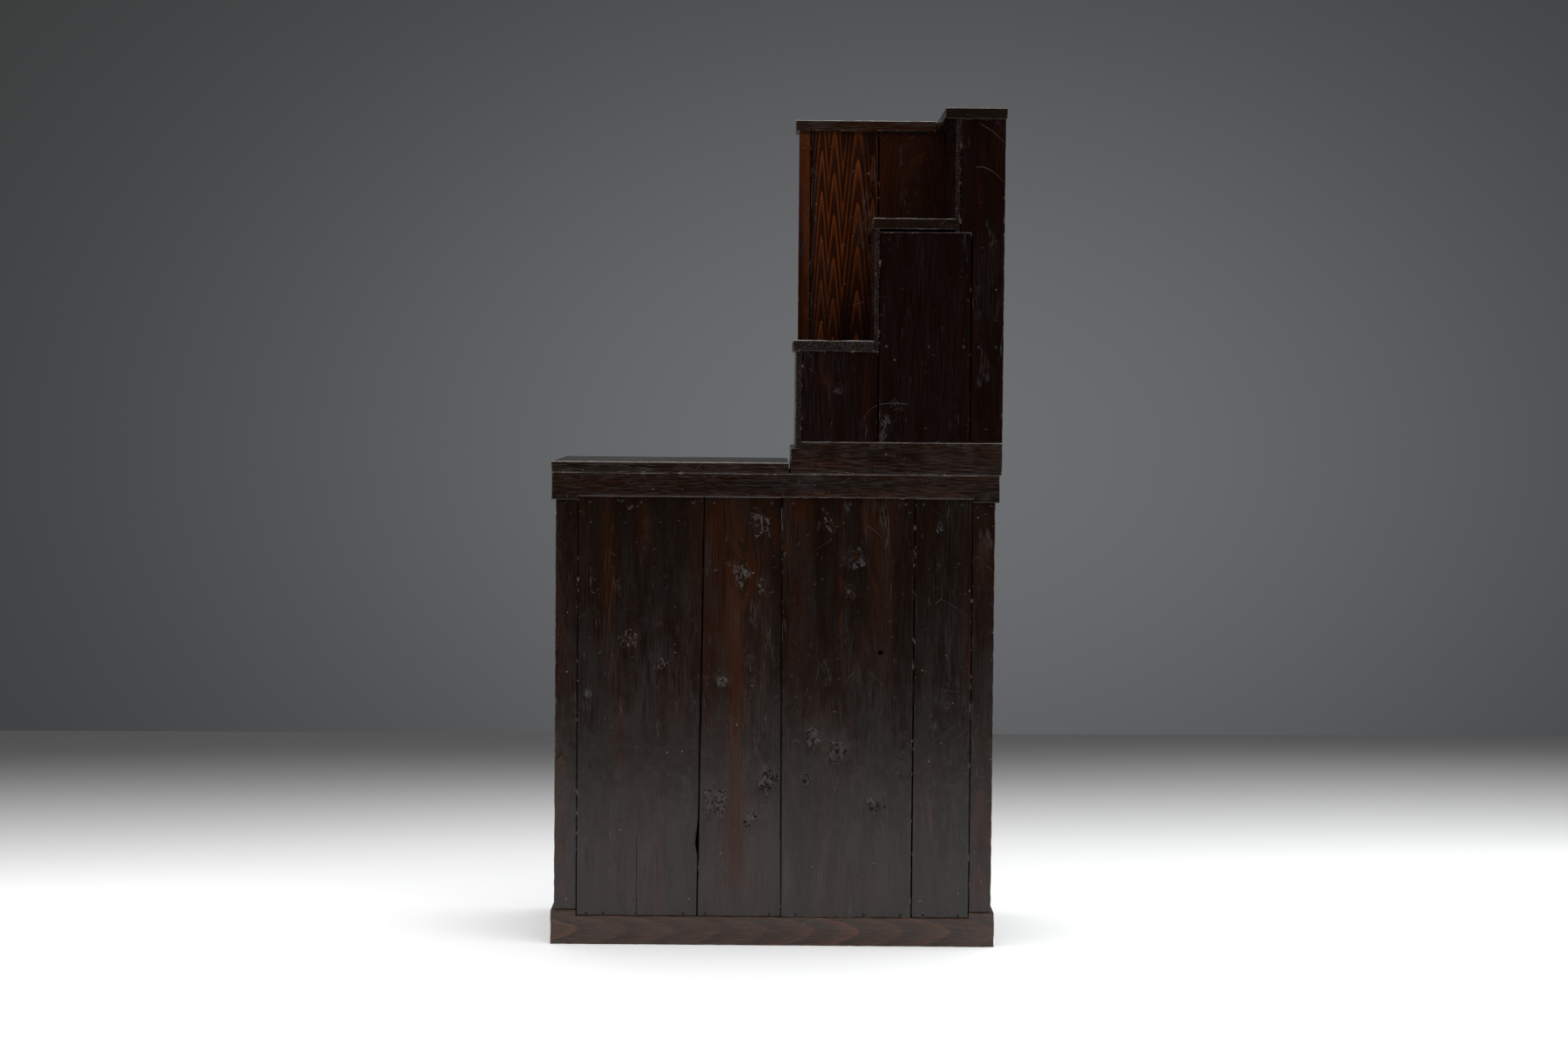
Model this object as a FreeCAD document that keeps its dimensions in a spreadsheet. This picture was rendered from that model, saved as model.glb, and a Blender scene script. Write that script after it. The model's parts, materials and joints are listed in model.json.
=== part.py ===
"""Step chest in two sections: a square lower chest and a narrower stepped chest that stands on it.

Frame: +X right as seen from the planked back, +Y towards the drawer front, +Z up, in millimetres.
The origin is the bottom centre of the box round the whole chest.
"""

import FreeCAD, Part
import Sketcher
import math
import os
import re

os.makedirs("parts", exist_ok=True)
doc = FreeCAD.newDocument("step_chest")
sheet = doc.addObject("Spreadsheet::Sheet", "sizes")

# Driving sizes of the lower chest
LOWER_CHEST = {
    "case_width": 980,
    "case_depth": 464,
    "lower_height": 1058,
    "post_width": 50,
    "post_depth": 42,
    "tenon_length": 24,
    "tenon_width": 26,
    "tenon_thick": 14,
    "tenon_shoulder": 12,
    "rail_face_stand": 6,
    "rail_thick": 34,
    "base_height": 77,
    "base_overhang": 7.5,
    "head_height": 61,
    "head_overhang": 9,
    "plank_thick": 14,
    "plank_set_back": 4,
    "base_lap": 12,
    "head_lap": 9,
    "rail_lip": 16,
    "plank_joint": 0.8,
    "wane_depth": 5,
    "wane_low": 201,
    "wane_length": 84,
    "knot_hole_radius": 5,
    "knot_hole_height": 660,
    "cross_rail_height": 40,
    "cross_rail_thick": 24,
    "cross_rail_level": 540,
    "side_panel_thick": 12,
    "side_panel_set_back": 8,
    "floor_thick": 12,
    "shelf_thick": 15,
    "shelf_front_gap": 12,
    "cleat_size": 18,
    "drawer_row_height": 167,
    "front_rail_height": 30,
    "divider_width": 30,
    "runner_width": 45,
    "top_board_thick": 25,
    "top_board_overhang": 1,
    "top_board_gap": 4,
}

# Driving sizes of the upper chest
UPPER_CHEST = {
    "upper_left": 33,
    "upper_right": 503.5,
    "upper_base_height": 72,
    "upper_base_thick": 30,
    "notch_depth": 15,
    "upper_case_inset": 9.5,
    "lower_rise": 201,
    "middle_rise": 247,
    "upper_rise": 220,
    "tread_thick": 25,
    "tread_overhang": 7,
    "top_tread_overhang": 25,
    "top_tread_reach": 3.5,
    "tread_end_stand": 3,
    "nosing_radius": 4,
    "middle_step_going": 177.5,
    "top_step_going": 109.5,
    "lower_riser_thick": 14,
    "riser_thick": 10,
    "middle_panel_gap": 6,
    "back_board_thick": 16,
    "back_board_width": 72,
    "stair_width": 352,
    "stair_wall_thick": 12,
    "stair_wall_inset": 6.5,
    "wall_edge_width": 26,
    "wall_flame_overrun": 7.5,
    "wall_joint": 0.6,
    "cap_overhang": 8,
    "cap_side_overhang": 8,
    "upper_side_thick": 14,
    "right_side_thick": 16,
    "upper_rail_height": 25,
}

# Driving sizes of what slides and swings
MOVING_PARTS = {
    "running_gap": 0.3,
    "side_gap": 1,
    "drawer_front_thick": 20,
    "drawer_inset": 2,
    "drawer_front_edge": 2,
    "drawer_wall": 10,
    "drawer_bottom_thick": 6,
    "drawer_wall_drop": 30,
    "drawer_back_gap": 24,
    "track_depth": 54,
    "door_thick": 18,
    "door_gap": 5,
    "door_inset": 3,
    "door_overlap": 40,
    "door_stile_width": 44,
    "door_rail_width": 50,
    "door_batten_width": 22,
    "door_batten_thick": 6,
    "door_panel_thick": 8,
    "tongue_thick": 8,
    "tongue_gap": 0.5,
    "lower_groove_depth": 6,
    "head_groove_depth": 12,
    "tongue_length": 9,
    "pull_radius": 15,
    "pull_depth": 3.5,
    "rosette_radius": 13,
    "rosette_edge_radius": 11,
    "rosette_thick": 2,
    "post_radius": 3.5,
    "eye_radius": 6,
    "eye_width": 9,
    "eye_reach": 13,
    "eye_gap": 0.25,
    "bail_radius": 3,
    "bail_span": 96,
    "bail_drop": 38,
    "bail_bend_radius": 9,
    "bail_corner_radius": 16,
    "bail_end": 7,
    "bail_knob_radius": 5,
    "bail_knob_length": 5,
    "bail_rise": 12,
}

# Iron nails
NAILS = {
    "nail_head_width": 5.4,
    "nail_tip_width": 1.6,
    "nail_length": 26,
    "nail_stand": 0.6,
    "foot_nail_drop": 7,
    "head_nail_drop": 5,
}

DRIVING = {**LOWER_CHEST, **UPPER_CHEST, **MOVING_PARTS, **NAILS}

# Places worked out from the driving sizes, written in the same words
DERIVED = {
    "case_left": "-case_width / 2",
    "case_right": "case_width / 2",
    "field_left": "case_left + post_width",
    "field_right": "case_right - post_width",
    "field_width": "field_right - field_left",
    "post_back": "-case_depth / 2",
    "post_front": "case_depth / 2",
    "rail_back": "post_back - rail_face_stand",
    "rail_front": "post_front + rail_face_stand",
    "rail_back_inner": "rail_back + rail_thick",
    "rail_front_inner": "rail_front - rail_thick",
    "plank_face": "rail_back + plank_set_back",
    "plank_inner": "plank_face + plank_thick",
    "plank_foot": "base_height - base_lap",
    "head_level": "lower_height - head_height",
    "plank_top": "head_level + head_lap",
    "drawer_row_level": "head_level - drawer_row_height",
    "base_left": "case_left - base_overhang",
    "base_right": "case_right + base_overhang",
    "head_left": "case_left - head_overhang",
    "head_right": "case_right + head_overhang",
    "track_back": "post_front - track_depth",
    "shelf_level": "cross_rail_level + cross_rail_height",
    "panel_outer": "case_right - side_panel_set_back",
    "panel_inner": "panel_outer - side_panel_thick",
    "posts_inner_back": "post_back + post_depth",
    "posts_inner_front": "post_front - post_depth",
    "landing_level": "lower_height + top_board_thick",
    "upper_case_left": "upper_left + upper_case_inset",
    "upper_riser_place": "upper_right - top_step_going",
    "middle_riser_place": "upper_riser_place - middle_step_going",
    "middle_riser_end": "middle_riser_place + riser_thick",
    "upper_riser_end": "upper_riser_place + riser_thick",
    "wall_dark_place": "middle_riser_end + wall_flame_overrun",
    "upper_floor_level": "lower_height + upper_base_height",
    "lower_tread_under": "upper_floor_level + lower_rise",
    "lower_tread_top": "lower_tread_under + tread_thick",
    "middle_tread_under": "lower_tread_top + middle_rise",
    "middle_tread_top": "middle_tread_under + tread_thick",
    "top_tread_under": "middle_tread_top + upper_rise",
    "chest_top": "top_tread_under + tread_thick",
    "middle_panel_top": "middle_tread_under - middle_panel_gap",
    "tread_end": "plank_face - tread_end_stand",
    "stair_back": "plank_face + stair_width",
    "wall_inner": "stair_back + stair_wall_thick",
    "wall_left": "upper_case_left + stair_wall_inset",
    "board_inner": "plank_face + back_board_thick",
    "right_board_left": "upper_right - back_board_width",
    "upper_side_inner": "wall_left + upper_side_thick",
    "lower_side_inner": "upper_case_left + lower_riser_thick",
    "right_side_inner": "upper_right - right_side_thick",
    "upper_right_end": "upper_right + top_tread_reach",
    "head_rail_under": "top_tread_under - upper_rail_height",
    "drawer_face": "post_front - drawer_inset",
    "eye_line": "drawer_face + rosette_thick + eye_reach",
    "front_reach": "eye_line + eye_radius",
    "shift_across": "(upper_right_end + head_left - top_board_overhang) / 2",
    "shift_deep": "(front_reach + rail_back) / 2",
}

# Where the plank joints lie across the plank field, at the foot and at the head
JOINT_FOOT_SHARES = (0.0, 0.308, 0.522, 0.854, 1.0)
JOINT_HEAD_SHARES = (0.0, 0.320, 0.516, 0.853, 1.0)
KNOT_HOLE_SHARE = 0.769

# Where the nails lie across the plank field
FOOT_NAIL_SHARES = (0.026, 0.069, 0.153, 0.273, 0.33, 0.493, 0.56, 0.733, 0.826, 0.884, 0.973)
MIDDLE_NAIL_SHARES = (0.03, 0.29, 0.335, 0.506, 0.557, 0.807, 0.88, 0.983)
HEAD_NAIL_SHARES = (0.03, 0.16, 0.29, 0.345, 0.49, 0.545, 0.69, 0.83, 0.875, 0.972)
UPPER_NAIL_SHARES = (0.06, 0.4, 0.68, 0.8, 0.94)

# Where the battens of a door lie between its rails
BATTEN_SHARES = (0.25, 0.5, 0.75)


def fill_sheet():
    """Write each driving size into the sheet under its own alias."""
    for row, (name, value) in enumerate(DRIVING.items(), start=1):
        sheet.set(f"A{row}", name)
        sheet.set(f"B{row}", str(value))
        sheet.setAlias(f"B{row}", name)
    doc.recompute()


def formula(words):
    """Turn a sum of size names into an expression on the sheet's cells."""

    def spell(match):
        word = match.group(0)
        if word in DERIVED:
            return "(" + formula(DERIVED[word]) + ")"
        return "sizes." + word if word in DRIVING else word

    return re.sub(r"[a-z_]+", spell, str(words))


def value(words):
    return float(sheet.evalExpression(formula(words)))


def shifted(words, axis):
    """A place in the chest's own frame, moved so that the origin is the bottom centre."""
    if axis == "z":
        return words
    return f"({words}) - ({'shift_across' if axis == 'x' else 'shift_deep'})"


def bind(thing, path, words):
    thing.setExpression(path, formula(words))


def block(label, x, y, z):
    """A square-edged board between two places along each axis."""
    board = doc.addObject("Part::Box", label)
    board.Label = label
    for side, axis, (low, high) in zip(("Length", "Width", "Height"), "xyz", (x, y, z)):
        bind(board, side, f"({high}) - ({low})")
        bind(board, f"Placement.Base.{axis}", shifted(low, axis))
    return board


def group(label, pieces):
    """Several separate pieces that are alike or belong together, kept under one name."""
    bundle = doc.addObject("Part::Compound", label)
    bundle.Label = label
    bundle.Links = pieces
    return bundle


def new_body(label):
    body = doc.addObject("PartDesign::Body", label)
    body.Label = label
    bind(body, "Placement.Base.x", "0 - (shift_across)")
    bind(body, "Placement.Base.y", "0 - (shift_deep)")
    return body


def plane_of(body, role):
    return next(plane for plane in body.Origin.OriginFeatures if plane.Role == role)


def outline(body, name, role, offset, points):
    """A closed sketch through the given points, each held to its place by the sheet."""
    sketch = body.newObject("Sketcher::SketchObject", name)
    sketch.AttachmentSupport = [(plane_of(body, role), "")]
    sketch.MapMode = "FlatFace"
    bind(sketch, "AttachmentOffset.Base.z", offset)
    places = [FreeCAD.Vector(value(across), value(up), 0) for across, up in points]
    count = len(places)
    for index in range(count):
        sketch.addGeometry(Part.LineSegment(places[index], places[(index + 1) % count]), False)
    for index in range(count):
        sketch.addConstraint(Sketcher.Constraint("Coincident", index, 2, (index + 1) % count, 1))
    for index, point in enumerate(points):
        hold(sketch, index, 1, point)
    return sketch


def hold(sketch, line, end, point):
    """Hold one end of a line to its place."""
    for kind, words in zip(("DistanceX", "DistanceY"), point):
        number = sketch.addConstraint(Sketcher.Constraint(kind, -1, 1, line, end, value(words)))
        sketch.setExpression(f"Constraints[{number}]", formula(words))


def slab(label, role, points, low, high):
    """A board with the given outline, as thick as the two places along its normal are apart."""
    body = new_body(label)
    offset = f"0 - ({high})" if role == "XZ_Plane" else low
    sketch = outline(body, label + "_outline", role, offset, points)
    pad = body.newObject("PartDesign::Pad", label + "_pad")
    pad.Profile = sketch
    bind(pad, "Length", f"({high}) - ({low})")
    doc.recompute()
    return body


def corners(x, z):
    return [(x[0], z[0]), (x[1], z[0]), (x[1], z[1]), (x[0], z[1])]


def soften(body, kind, size, wanted):
    """Round or bevel the edges of a body that a test picks."""
    base = body.Tip
    names = [f"Edge{number}" for number, edge in enumerate(base.Shape.Edges, start=1) if wanted(edge)]
    finish = body.newObject(kind, body.Label + "_edges")
    finish.Base = (base, names)
    path = "Radius" if kind.endswith("Fillet") else "Size"
    bind(finish, path, size)
    return body


def runs_along(edge, axis):
    box = edge.BoundBox
    lengths = {"x": box.XLength, "y": box.YLength, "z": box.ZLength}
    return lengths[axis] > max(length for name, length in lengths.items() if name != axis)


def carve(label, base, tools):
    """A board with pieces cut out of it."""
    cut = doc.addObject("Part::Cut", label)
    cut.Label = label
    cut.Base = base
    cut.Tool = tools[0] if len(tools) == 1 else group(label + "_cuts", tools)
    return cut


def join(label, pieces):
    """Several shapes grown into one piece."""
    whole = doc.addObject("Part::MultiFuse", label)
    whole.Label = label
    whole.Shapes = pieces
    return whole


TURNS = {
    "x": FreeCAD.Rotation(FreeCAD.Vector(0, 1, 0), 90),
    "y": FreeCAD.Rotation(FreeCAD.Vector(1, 0, 0), -90),
    "z": FreeCAD.Rotation(),
}


def round_piece(label, kind, axis, start, sizes):
    """A cylinder, cone or sphere that starts at a place and runs along an axis."""
    piece = doc.addObject("Part::" + kind, label)
    piece.Placement = FreeCAD.Placement(FreeCAD.Vector(), TURNS[axis])
    for name, words in zip("xyz", start):
        bind(piece, f"Placement.Base.{name}", shifted(words, name))
    for path, words in sizes.items():
        bind(piece, path, words)
    return piece


def tenon_place(side, end):
    """Where the tenon of a corner post lies, seen from above, at one side and one end."""
    if side == "left":
        across = ("case_left + tenon_shoulder", "case_left + tenon_shoulder + tenon_width")
    else:
        across = ("case_right - tenon_shoulder - tenon_width", "case_right - tenon_shoulder")
    if end == "back":
        deep = ("rail_back + tenon_shoulder", "rail_back + tenon_shoulder + tenon_thick")
    else:
        deep = ("rail_front - tenon_shoulder - tenon_thick", "rail_front - tenon_shoulder")
    return across, deep


def tenon(label, side, end, level, way):
    across, deep = tenon_place(side, end)
    up = (f"{level} - tenon_length", level) if way == "down" else (level, f"{level} + tenon_length")
    return block(label, across, deep, up)


def mortises(label, end, level, way):
    return [tenon(f"{label}_{side}_mortise", side, end, level, way) for side in ("left", "right")]


def corner_posts(end, deep):
    """The two posts of one face, tenoned into the rails below and above them."""
    posts = []
    for side, across in (("left", ("case_left", "field_left")), ("right", ("field_right", "case_right"))):
        name = f"{end}_{side}_post"
        shaft = block(name + "_shaft", across, deep, ("base_height", "head_level"))
        foot = tenon(name + "_foot", side, end, "base_height", "down")
        head = tenon(name + "_head", side, end, "head_level", "up")
        posts.append(join(name, [shaft, foot, head]))
    return group(f"{end}_posts", posts)


def rebated_rail(label, across, level, rebate, lip, mortise_level, way):
    """A back rail: planks lap into its rebate and are nailed to the lip behind them."""
    field = ("field_left", "field_right")
    rail = block(label + "_bar", across, ("rail_back", "rail_back_inner"), level)
    channel = block(label + "_rebate", field, ("rail_back", "plank_inner"), rebate)
    cut = carve(label + "_cut", rail, [channel] + mortises(label, "back", mortise_level, way))
    ledge = block(label + "_lip", field, ("plank_inner", "rail_back_inner"), lip)
    return join(label, [cut, ledge])


def track_lines():
    """The outer face of the door in each of the two tracks, the front one first."""
    first = "post_front - door_inset"
    return first, f"{first} - door_thick - door_gap"


def grooves(label, across, level):
    """The two grooves that the tongues of a pair of doors run in."""
    cuts = []
    half = "(tongue_thick / 2 + tongue_gap)"
    for number, face in enumerate(track_lines(), start=1):
        middle = f"{face} - door_thick / 2"
        cuts.append(block(f"{label}_groove_{number}", across, (f"{middle} - {half}", f"{middle} + {half}"), level))
    return cuts


def lower_frame():
    """Base rails, head rails and corner posts of the lower chest."""
    base = ("base_left", "base_right")
    head = ("head_left", "head_right")
    parts = [
        rebated_rail("base_rail_back", base, ("0", "base_height"), ("plank_foot", "base_height"),
                     ("base_height", "base_height + rail_lip"), "base_height", "down"),
        rebated_rail("top_rail_back", head, ("head_level", "lower_height"), ("head_level", "plank_top"),
                     ("head_level - rail_lip", "head_level"), "head_level", "up"),
    ]
    sill = block("base_rail_front_bar", base, ("track_back", "rail_front"), ("0", "base_height"))
    cuts = grooves("base_rail_front", ("field_left", "field_right"),
                   ("base_height - lower_groove_depth", "base_height"))
    parts.append(carve("base_rail_front", sill, cuts + mortises("base_front", "front", "base_height", "down")))
    top = block("top_rail_front_bar", head, ("rail_front_inner", "rail_front"), ("head_level", "lower_height"))
    parts.append(carve("top_rail_front", top, mortises("top_front", "front", "head_level", "up")))
    sides = []
    for name, left, right, front, level in (
        ("base", *base, "track_back", ("0", "base_height")),
        ("top", *head, "rail_front_inner", ("head_level", "lower_height")),
    ):
        deep = ("rail_back_inner", front)
        sides.append(block(f"{name}_left_rail", (left, f"{left} + rail_thick"), deep, level))
        sides.append(block(f"{name}_right_rail", (f"{right} - rail_thick", right), deep, level))
    parts.append(group("side_rails", sides))
    parts.append(corner_posts("back", ("post_back", "posts_inner_back")))
    parts.append(corner_posts("front", ("posts_inner_front", "post_front")))
    return parts


def plank_edge(share, side):
    """The edge of a plank at a share of the field, half a joint away from its neighbour."""
    if share in (0.0, 1.0):
        return f"field_left + field_width * {share}"
    return f"field_left + field_width * {share} {'+' if side == 'left' else '-'} plank_joint / 2"


def plank_outline(number):
    foot = JOINT_FOOT_SHARES[number - 1:number + 1]
    head = JOINT_HEAD_SHARES[number - 1:number + 1]
    points = [
        (plank_edge(foot[0], "left"), "plank_foot"),
        (plank_edge(foot[1], "right"), "plank_foot"),
        (plank_edge(head[1], "right"), "plank_top"),
        (plank_edge(head[0], "left"), "plank_top"),
    ]
    if number == 1:
        points[2:2] = wane(points[1][0], points[2][0])
    return points


def wane(foot, head):
    """The hollow low on the right edge of the first plank, where the bark side was."""

    def edge(level):
        return f"{foot} + ({head} - ({foot})) * ({level} - plank_foot) / (plank_top - plank_foot)"

    middle, top = "wane_low + wane_length / 3", "wane_low + wane_length"
    return [
        (edge("wane_low"), "wane_low"),
        (f"{edge(middle)} - wane_depth", middle),
        (edge(top), top),
    ]


def back_planks():
    planks = []
    for number in (1, 2, 3, 4):
        label = f"back_plank_{number}"
        drilled = number == 3
        name = label + "_board" if drilled else label
        plank = slab(name, "XZ_Plane", plank_outline(number), "plank_face", "plank_inner")
        if drilled:
            start = (f"field_left + field_width * {KNOT_HOLE_SHARE}", "rail_back", "knot_hole_height")
            sizes = {"Radius": "knot_hole_radius", "Height": "rail_thick"}
            plank = carve(label, plank, [round_piece("knot_hole", "Cylinder", "y", start, sizes)])
        planks.append(plank)
    return planks


def lower_inside():
    """Panels, floor, shelf, rails and runners that make the lower chest a cupboard with drawers."""
    deep = ("posts_inner_back", "posts_inner_front")
    tall = ("base_height", "head_level")
    field = ("field_left", "field_right")
    panels = group("side_panels", [
        block("left_panel", ("0 - panel_outer", "0 - panel_inner"), deep, tall),
        block("right_panel", ("panel_inner", "panel_outer"), deep, tall),
    ])
    floor = block("floor_board", ("base_left + rail_thick", "base_right - rail_thick"),
                  ("rail_back_inner", "track_back"), ("base_height - floor_thick", "base_height"))
    cross = block("back_cross_rail", field, ("plank_inner", "plank_inner + cross_rail_thick"),
                  ("cross_rail_level", "shelf_level"))
    front_edge = "track_back - shelf_front_gap"
    shelf = slab("cupboard_shelf", "XY_Plane", [
        ("0 - panel_inner", "posts_inner_back"), ("field_left", "posts_inner_back"),
        ("field_left", "plank_inner"), ("field_right", "plank_inner"),
        ("field_right", "posts_inner_back"), ("panel_inner", "posts_inner_back"),
        ("panel_inner", front_edge), ("0 - panel_inner", front_edge),
    ], "shelf_level", "shelf_level + shelf_thick")
    rail_under = "drawer_row_level - front_rail_height"
    bar = block("front_rail_bar", field, ("track_back", "post_front"), (rail_under, "drawer_row_level"))
    rail = carve("front_rail", bar, grooves("front_rail", field, (rail_under, f"{rail_under} + head_groove_depth")))
    divider = block("drawer_divider", ("0 - divider_width / 2", "divider_width / 2"),
                    ("track_back", "post_front"), ("drawer_row_level", "head_level"))
    return [panels, floor, cross, shelf, rail, divider, runners_and_cleats(front_edge)]


def runners_and_cleats(front_edge):
    """Strips along the sides: the upper ones carry the drawers, the lower ones the shelf."""
    outer = ("panel_inner - runner_width", "panel_inner")
    mirrored = ("0 - panel_inner", "runner_width - panel_inner")
    strips = []
    for name, top, front in (("runner", "drawer_row_level", "track_back"), ("cleat", "shelf_level", front_edge)):
        level = (f"{top} - cleat_size", top)
        for side, across in (("left", mirrored), ("right", outer)):
            strips.append(block(f"{side}_{name}", across, ("posts_inner_back", front), level))
    middle = ("0 - divider_width", "divider_width")
    level = ("drawer_row_level - cleat_size", "drawer_row_level")
    strips.append(block("middle_runner", middle, ("plank_inner", "track_back"), level))
    return group("runners_and_cleats", strips)


def upper_base():
    """Top board of the lower chest, and the base frame and floor of the upper one."""
    top = block("top_board", ("head_left - top_board_overhang", "upper_left - top_board_gap"),
                ("rail_back", "rail_front"), ("lower_height", "landing_level"))
    level = ("lower_height", "upper_floor_level")
    across = ("upper_left", "upper_right")
    seat_across = ("upper_left", "lower_side_inner")
    seat_level = ("upper_floor_level - notch_depth", "upper_floor_level")
    frame = []
    for name, deep in (
        ("back", ("rail_back", "rail_back + upper_base_thick")),
        ("front", ("rail_front - upper_base_thick", "rail_front")),
    ):
        bar = block(f"upper_base_{name}_bar", across, deep, level)
        seat = block(f"upper_base_{name}_seat", seat_across, deep, seat_level)
        label = "upper_base_rail_back" if name == "back" else "upper_base_front"
        frame.append(carve(label, bar, [seat]))
    deep = ("rail_back + upper_base_thick", "rail_front - upper_base_thick")
    left = block("upper_base_left_bar", ("upper_left", "upper_left + upper_base_thick"), deep, level)
    seat = block("upper_base_left_seat", seat_across, deep, seat_level)
    right = block("upper_base_right", ("upper_right - upper_base_thick", "upper_right"), deep, level)
    ring = group("upper_base_frame", [frame[1], carve("upper_base_left", left, [seat]), right])
    floor = block("upper_floor", ("upper_left + upper_base_thick", "upper_right - upper_base_thick"),
                  deep, ("upper_floor_level - floor_thick", "upper_floor_level"))
    return [top, frame[0], ring, floor]


def stair_boards():
    """Back panels, risers and treads."""
    face = ("plank_face", "board_inner")
    steep = ("plank_face", "stair_back")
    right_board = [
        ("right_board_left", "upper_floor_level"), ("upper_right", "upper_floor_level"),
        ("upper_right", "top_tread_under"), ("upper_riser_end", "top_tread_under"),
        ("upper_riser_end", "middle_panel_top"), ("right_board_left", "middle_panel_top"),
    ]
    return [
        block("back_panel_left", ("lower_side_inner", "middle_riser_end - wall_joint"), face,
              ("upper_floor_level", "lower_tread_under")),
        block("back_panel_middle", ("middle_riser_end", "right_board_left - wall_joint"), face,
              ("upper_floor_level", "middle_panel_top")),
        slab("back_board_right", "XZ_Plane", right_board, *face),
        block("riser_lower", ("upper_case_left", "lower_side_inner"), ("plank_face", "post_front"),
              ("upper_floor_level - notch_depth", "lower_tread_under")),
        block("riser_middle", ("middle_riser_place", "middle_riser_end"), steep,
              ("lower_tread_under", "middle_tread_under")),
        block("riser_upper", ("upper_riser_place", "upper_riser_end"), steep,
              ("middle_panel_top", "top_tread_under")),
        tread("tread_lower", "upper_case_left - tread_overhang", "middle_riser_place",
              "lower_tread_under", "stair_back"),
        tread("tread_middle", "middle_riser_place - tread_overhang", "upper_riser_place",
              "middle_tread_under", "stair_back"),
        tread("tread_top", "upper_riser_place - top_tread_overhang", "upper_right_end",
              "top_tread_under", "rail_front"),
    ]


def tread(label, left, right, under, far_end):
    """A step board with a worn, rounded nosing on its left edge."""
    section = corners((left, right), (under, f"{under} + tread_thick"))
    body = slab(label, "XZ_Plane", section, "tread_end", far_end)
    nose = value(left)
    return soften(body, "PartDesign::Fillet", "min(nosing_radius; tread_thick / 3)",
                  lambda edge: runs_along(edge, "y") and abs(edge.CenterOfMass.x - nose) < edge.Length / 9)


def stair_wall():
    """The wall on the far side of the steps, and its cap."""
    face = ("stair_back", "wall_inner")
    edge_end = "wall_left + wall_edge_width"
    flame_board = [
        (f"{edge_end} + wall_joint", "lower_tread_under"), ("middle_riser_end", "lower_tread_under"),
        ("middle_riser_end", "middle_tread_under"), ("wall_dark_place", "middle_tread_under"),
        ("wall_dark_place", "top_tread_under"), (f"{edge_end} + wall_joint", "top_tread_under"),
    ]
    return [
        block("wall_edge_board", ("wall_left", edge_end), face, ("lower_tread_under", "top_tread_under")),
        slab("wall_flame_board", "XZ_Plane", flame_board, *face),
        block("wall_dark_board", ("wall_dark_place + wall_joint", "upper_riser_end"), face,
              ("middle_tread_under", "top_tread_under")),
        block("cap_board", ("wall_left - cap_side_overhang", "upper_riser_place - top_tread_overhang"),
              ("stair_back - cap_overhang", "rail_front"), ("top_tread_under", "chest_top")),
    ]


def upper_inside():
    """Side boards, shelf over the drawer and front rails of the upper chest."""
    left = block("upper_left_side", ("wall_left", "upper_side_inner"), ("wall_inner", "post_front"),
                 ("lower_tread_under", "top_tread_under"))
    right = block("upper_right_side", ("right_side_inner", "upper_right"), ("board_inner", "post_front"),
                  ("upper_floor_level", "top_tread_under"))
    shelf = slab("upper_shelf", "XY_Plane", [
        ("middle_riser_end", "board_inner"), ("right_side_inner", "board_inner"),
        ("right_side_inner", "track_back"), ("upper_side_inner", "track_back"),
        ("upper_side_inner", "wall_inner"), ("middle_riser_end", "wall_inner"),
    ], "lower_tread_under", "lower_tread_top")
    across = ("upper_side_inner", "right_side_inner")
    deep = ("track_back", "post_front")
    low = block("upper_middle_bar", across, deep, ("lower_tread_under", "lower_tread_top"))
    high = block("upper_head_bar", across, deep, ("head_rail_under", "top_tread_under"))
    low_cuts = grooves("upper_low", across, ("lower_tread_top - lower_groove_depth", "lower_tread_top"))
    high_cuts = grooves("upper_high", across, ("head_rail_under", "head_rail_under + head_groove_depth"))
    rails = group("upper_front_rails", [
        carve("upper_middle_rail", low, low_cuts), carve("upper_head_rail", high, high_cuts)])
    return [left, right, shelf, rails]


def nail(label, across, level):
    """A forged nail: square in section, and tapered from its head to its tip."""
    pin = doc.addObject("Part::Wedge", label)
    for name, words in zip("xyz", (across, "plank_face - nail_stand", level)):
        bind(pin, f"Placement.Base.{name}", shifted(words, name))
    for side in "XZ":
        bind(pin, f"{side}min", "0 - nail_head_width / 2")
        bind(pin, f"{side}max", "nail_head_width / 2")
        bind(pin, f"{side}2min", "0 - nail_tip_width / 2")
        bind(pin, f"{side}2max", "nail_tip_width / 2")
    bind(pin, "Ymin", "0")
    bind(pin, "Ymax", "nail_length")
    return pin


def nails():
    """The nails that hold the back boards."""
    field = ("field_left", "field_width")
    upper = ("middle_riser_end", "(upper_right - middle_riser_end)")
    rows = (
        (FOOT_NAIL_SHARES, field, "base_height - foot_nail_drop"),
        (MIDDLE_NAIL_SHARES, field, "cross_rail_level + cross_rail_height / 2"),
        (HEAD_NAIL_SHARES, field, "head_level - head_nail_drop"),
        (UPPER_NAIL_SHARES, upper, "lower_tread_under + tread_thick / 2"),
    )
    pins = []
    for shares, (left, width), level in rows:
        for share in shares:
            pins.append(nail(f"nail_{len(pins) + 1}", f"{left} + {width} * {share}", level))
    return group("nails", pins)


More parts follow.
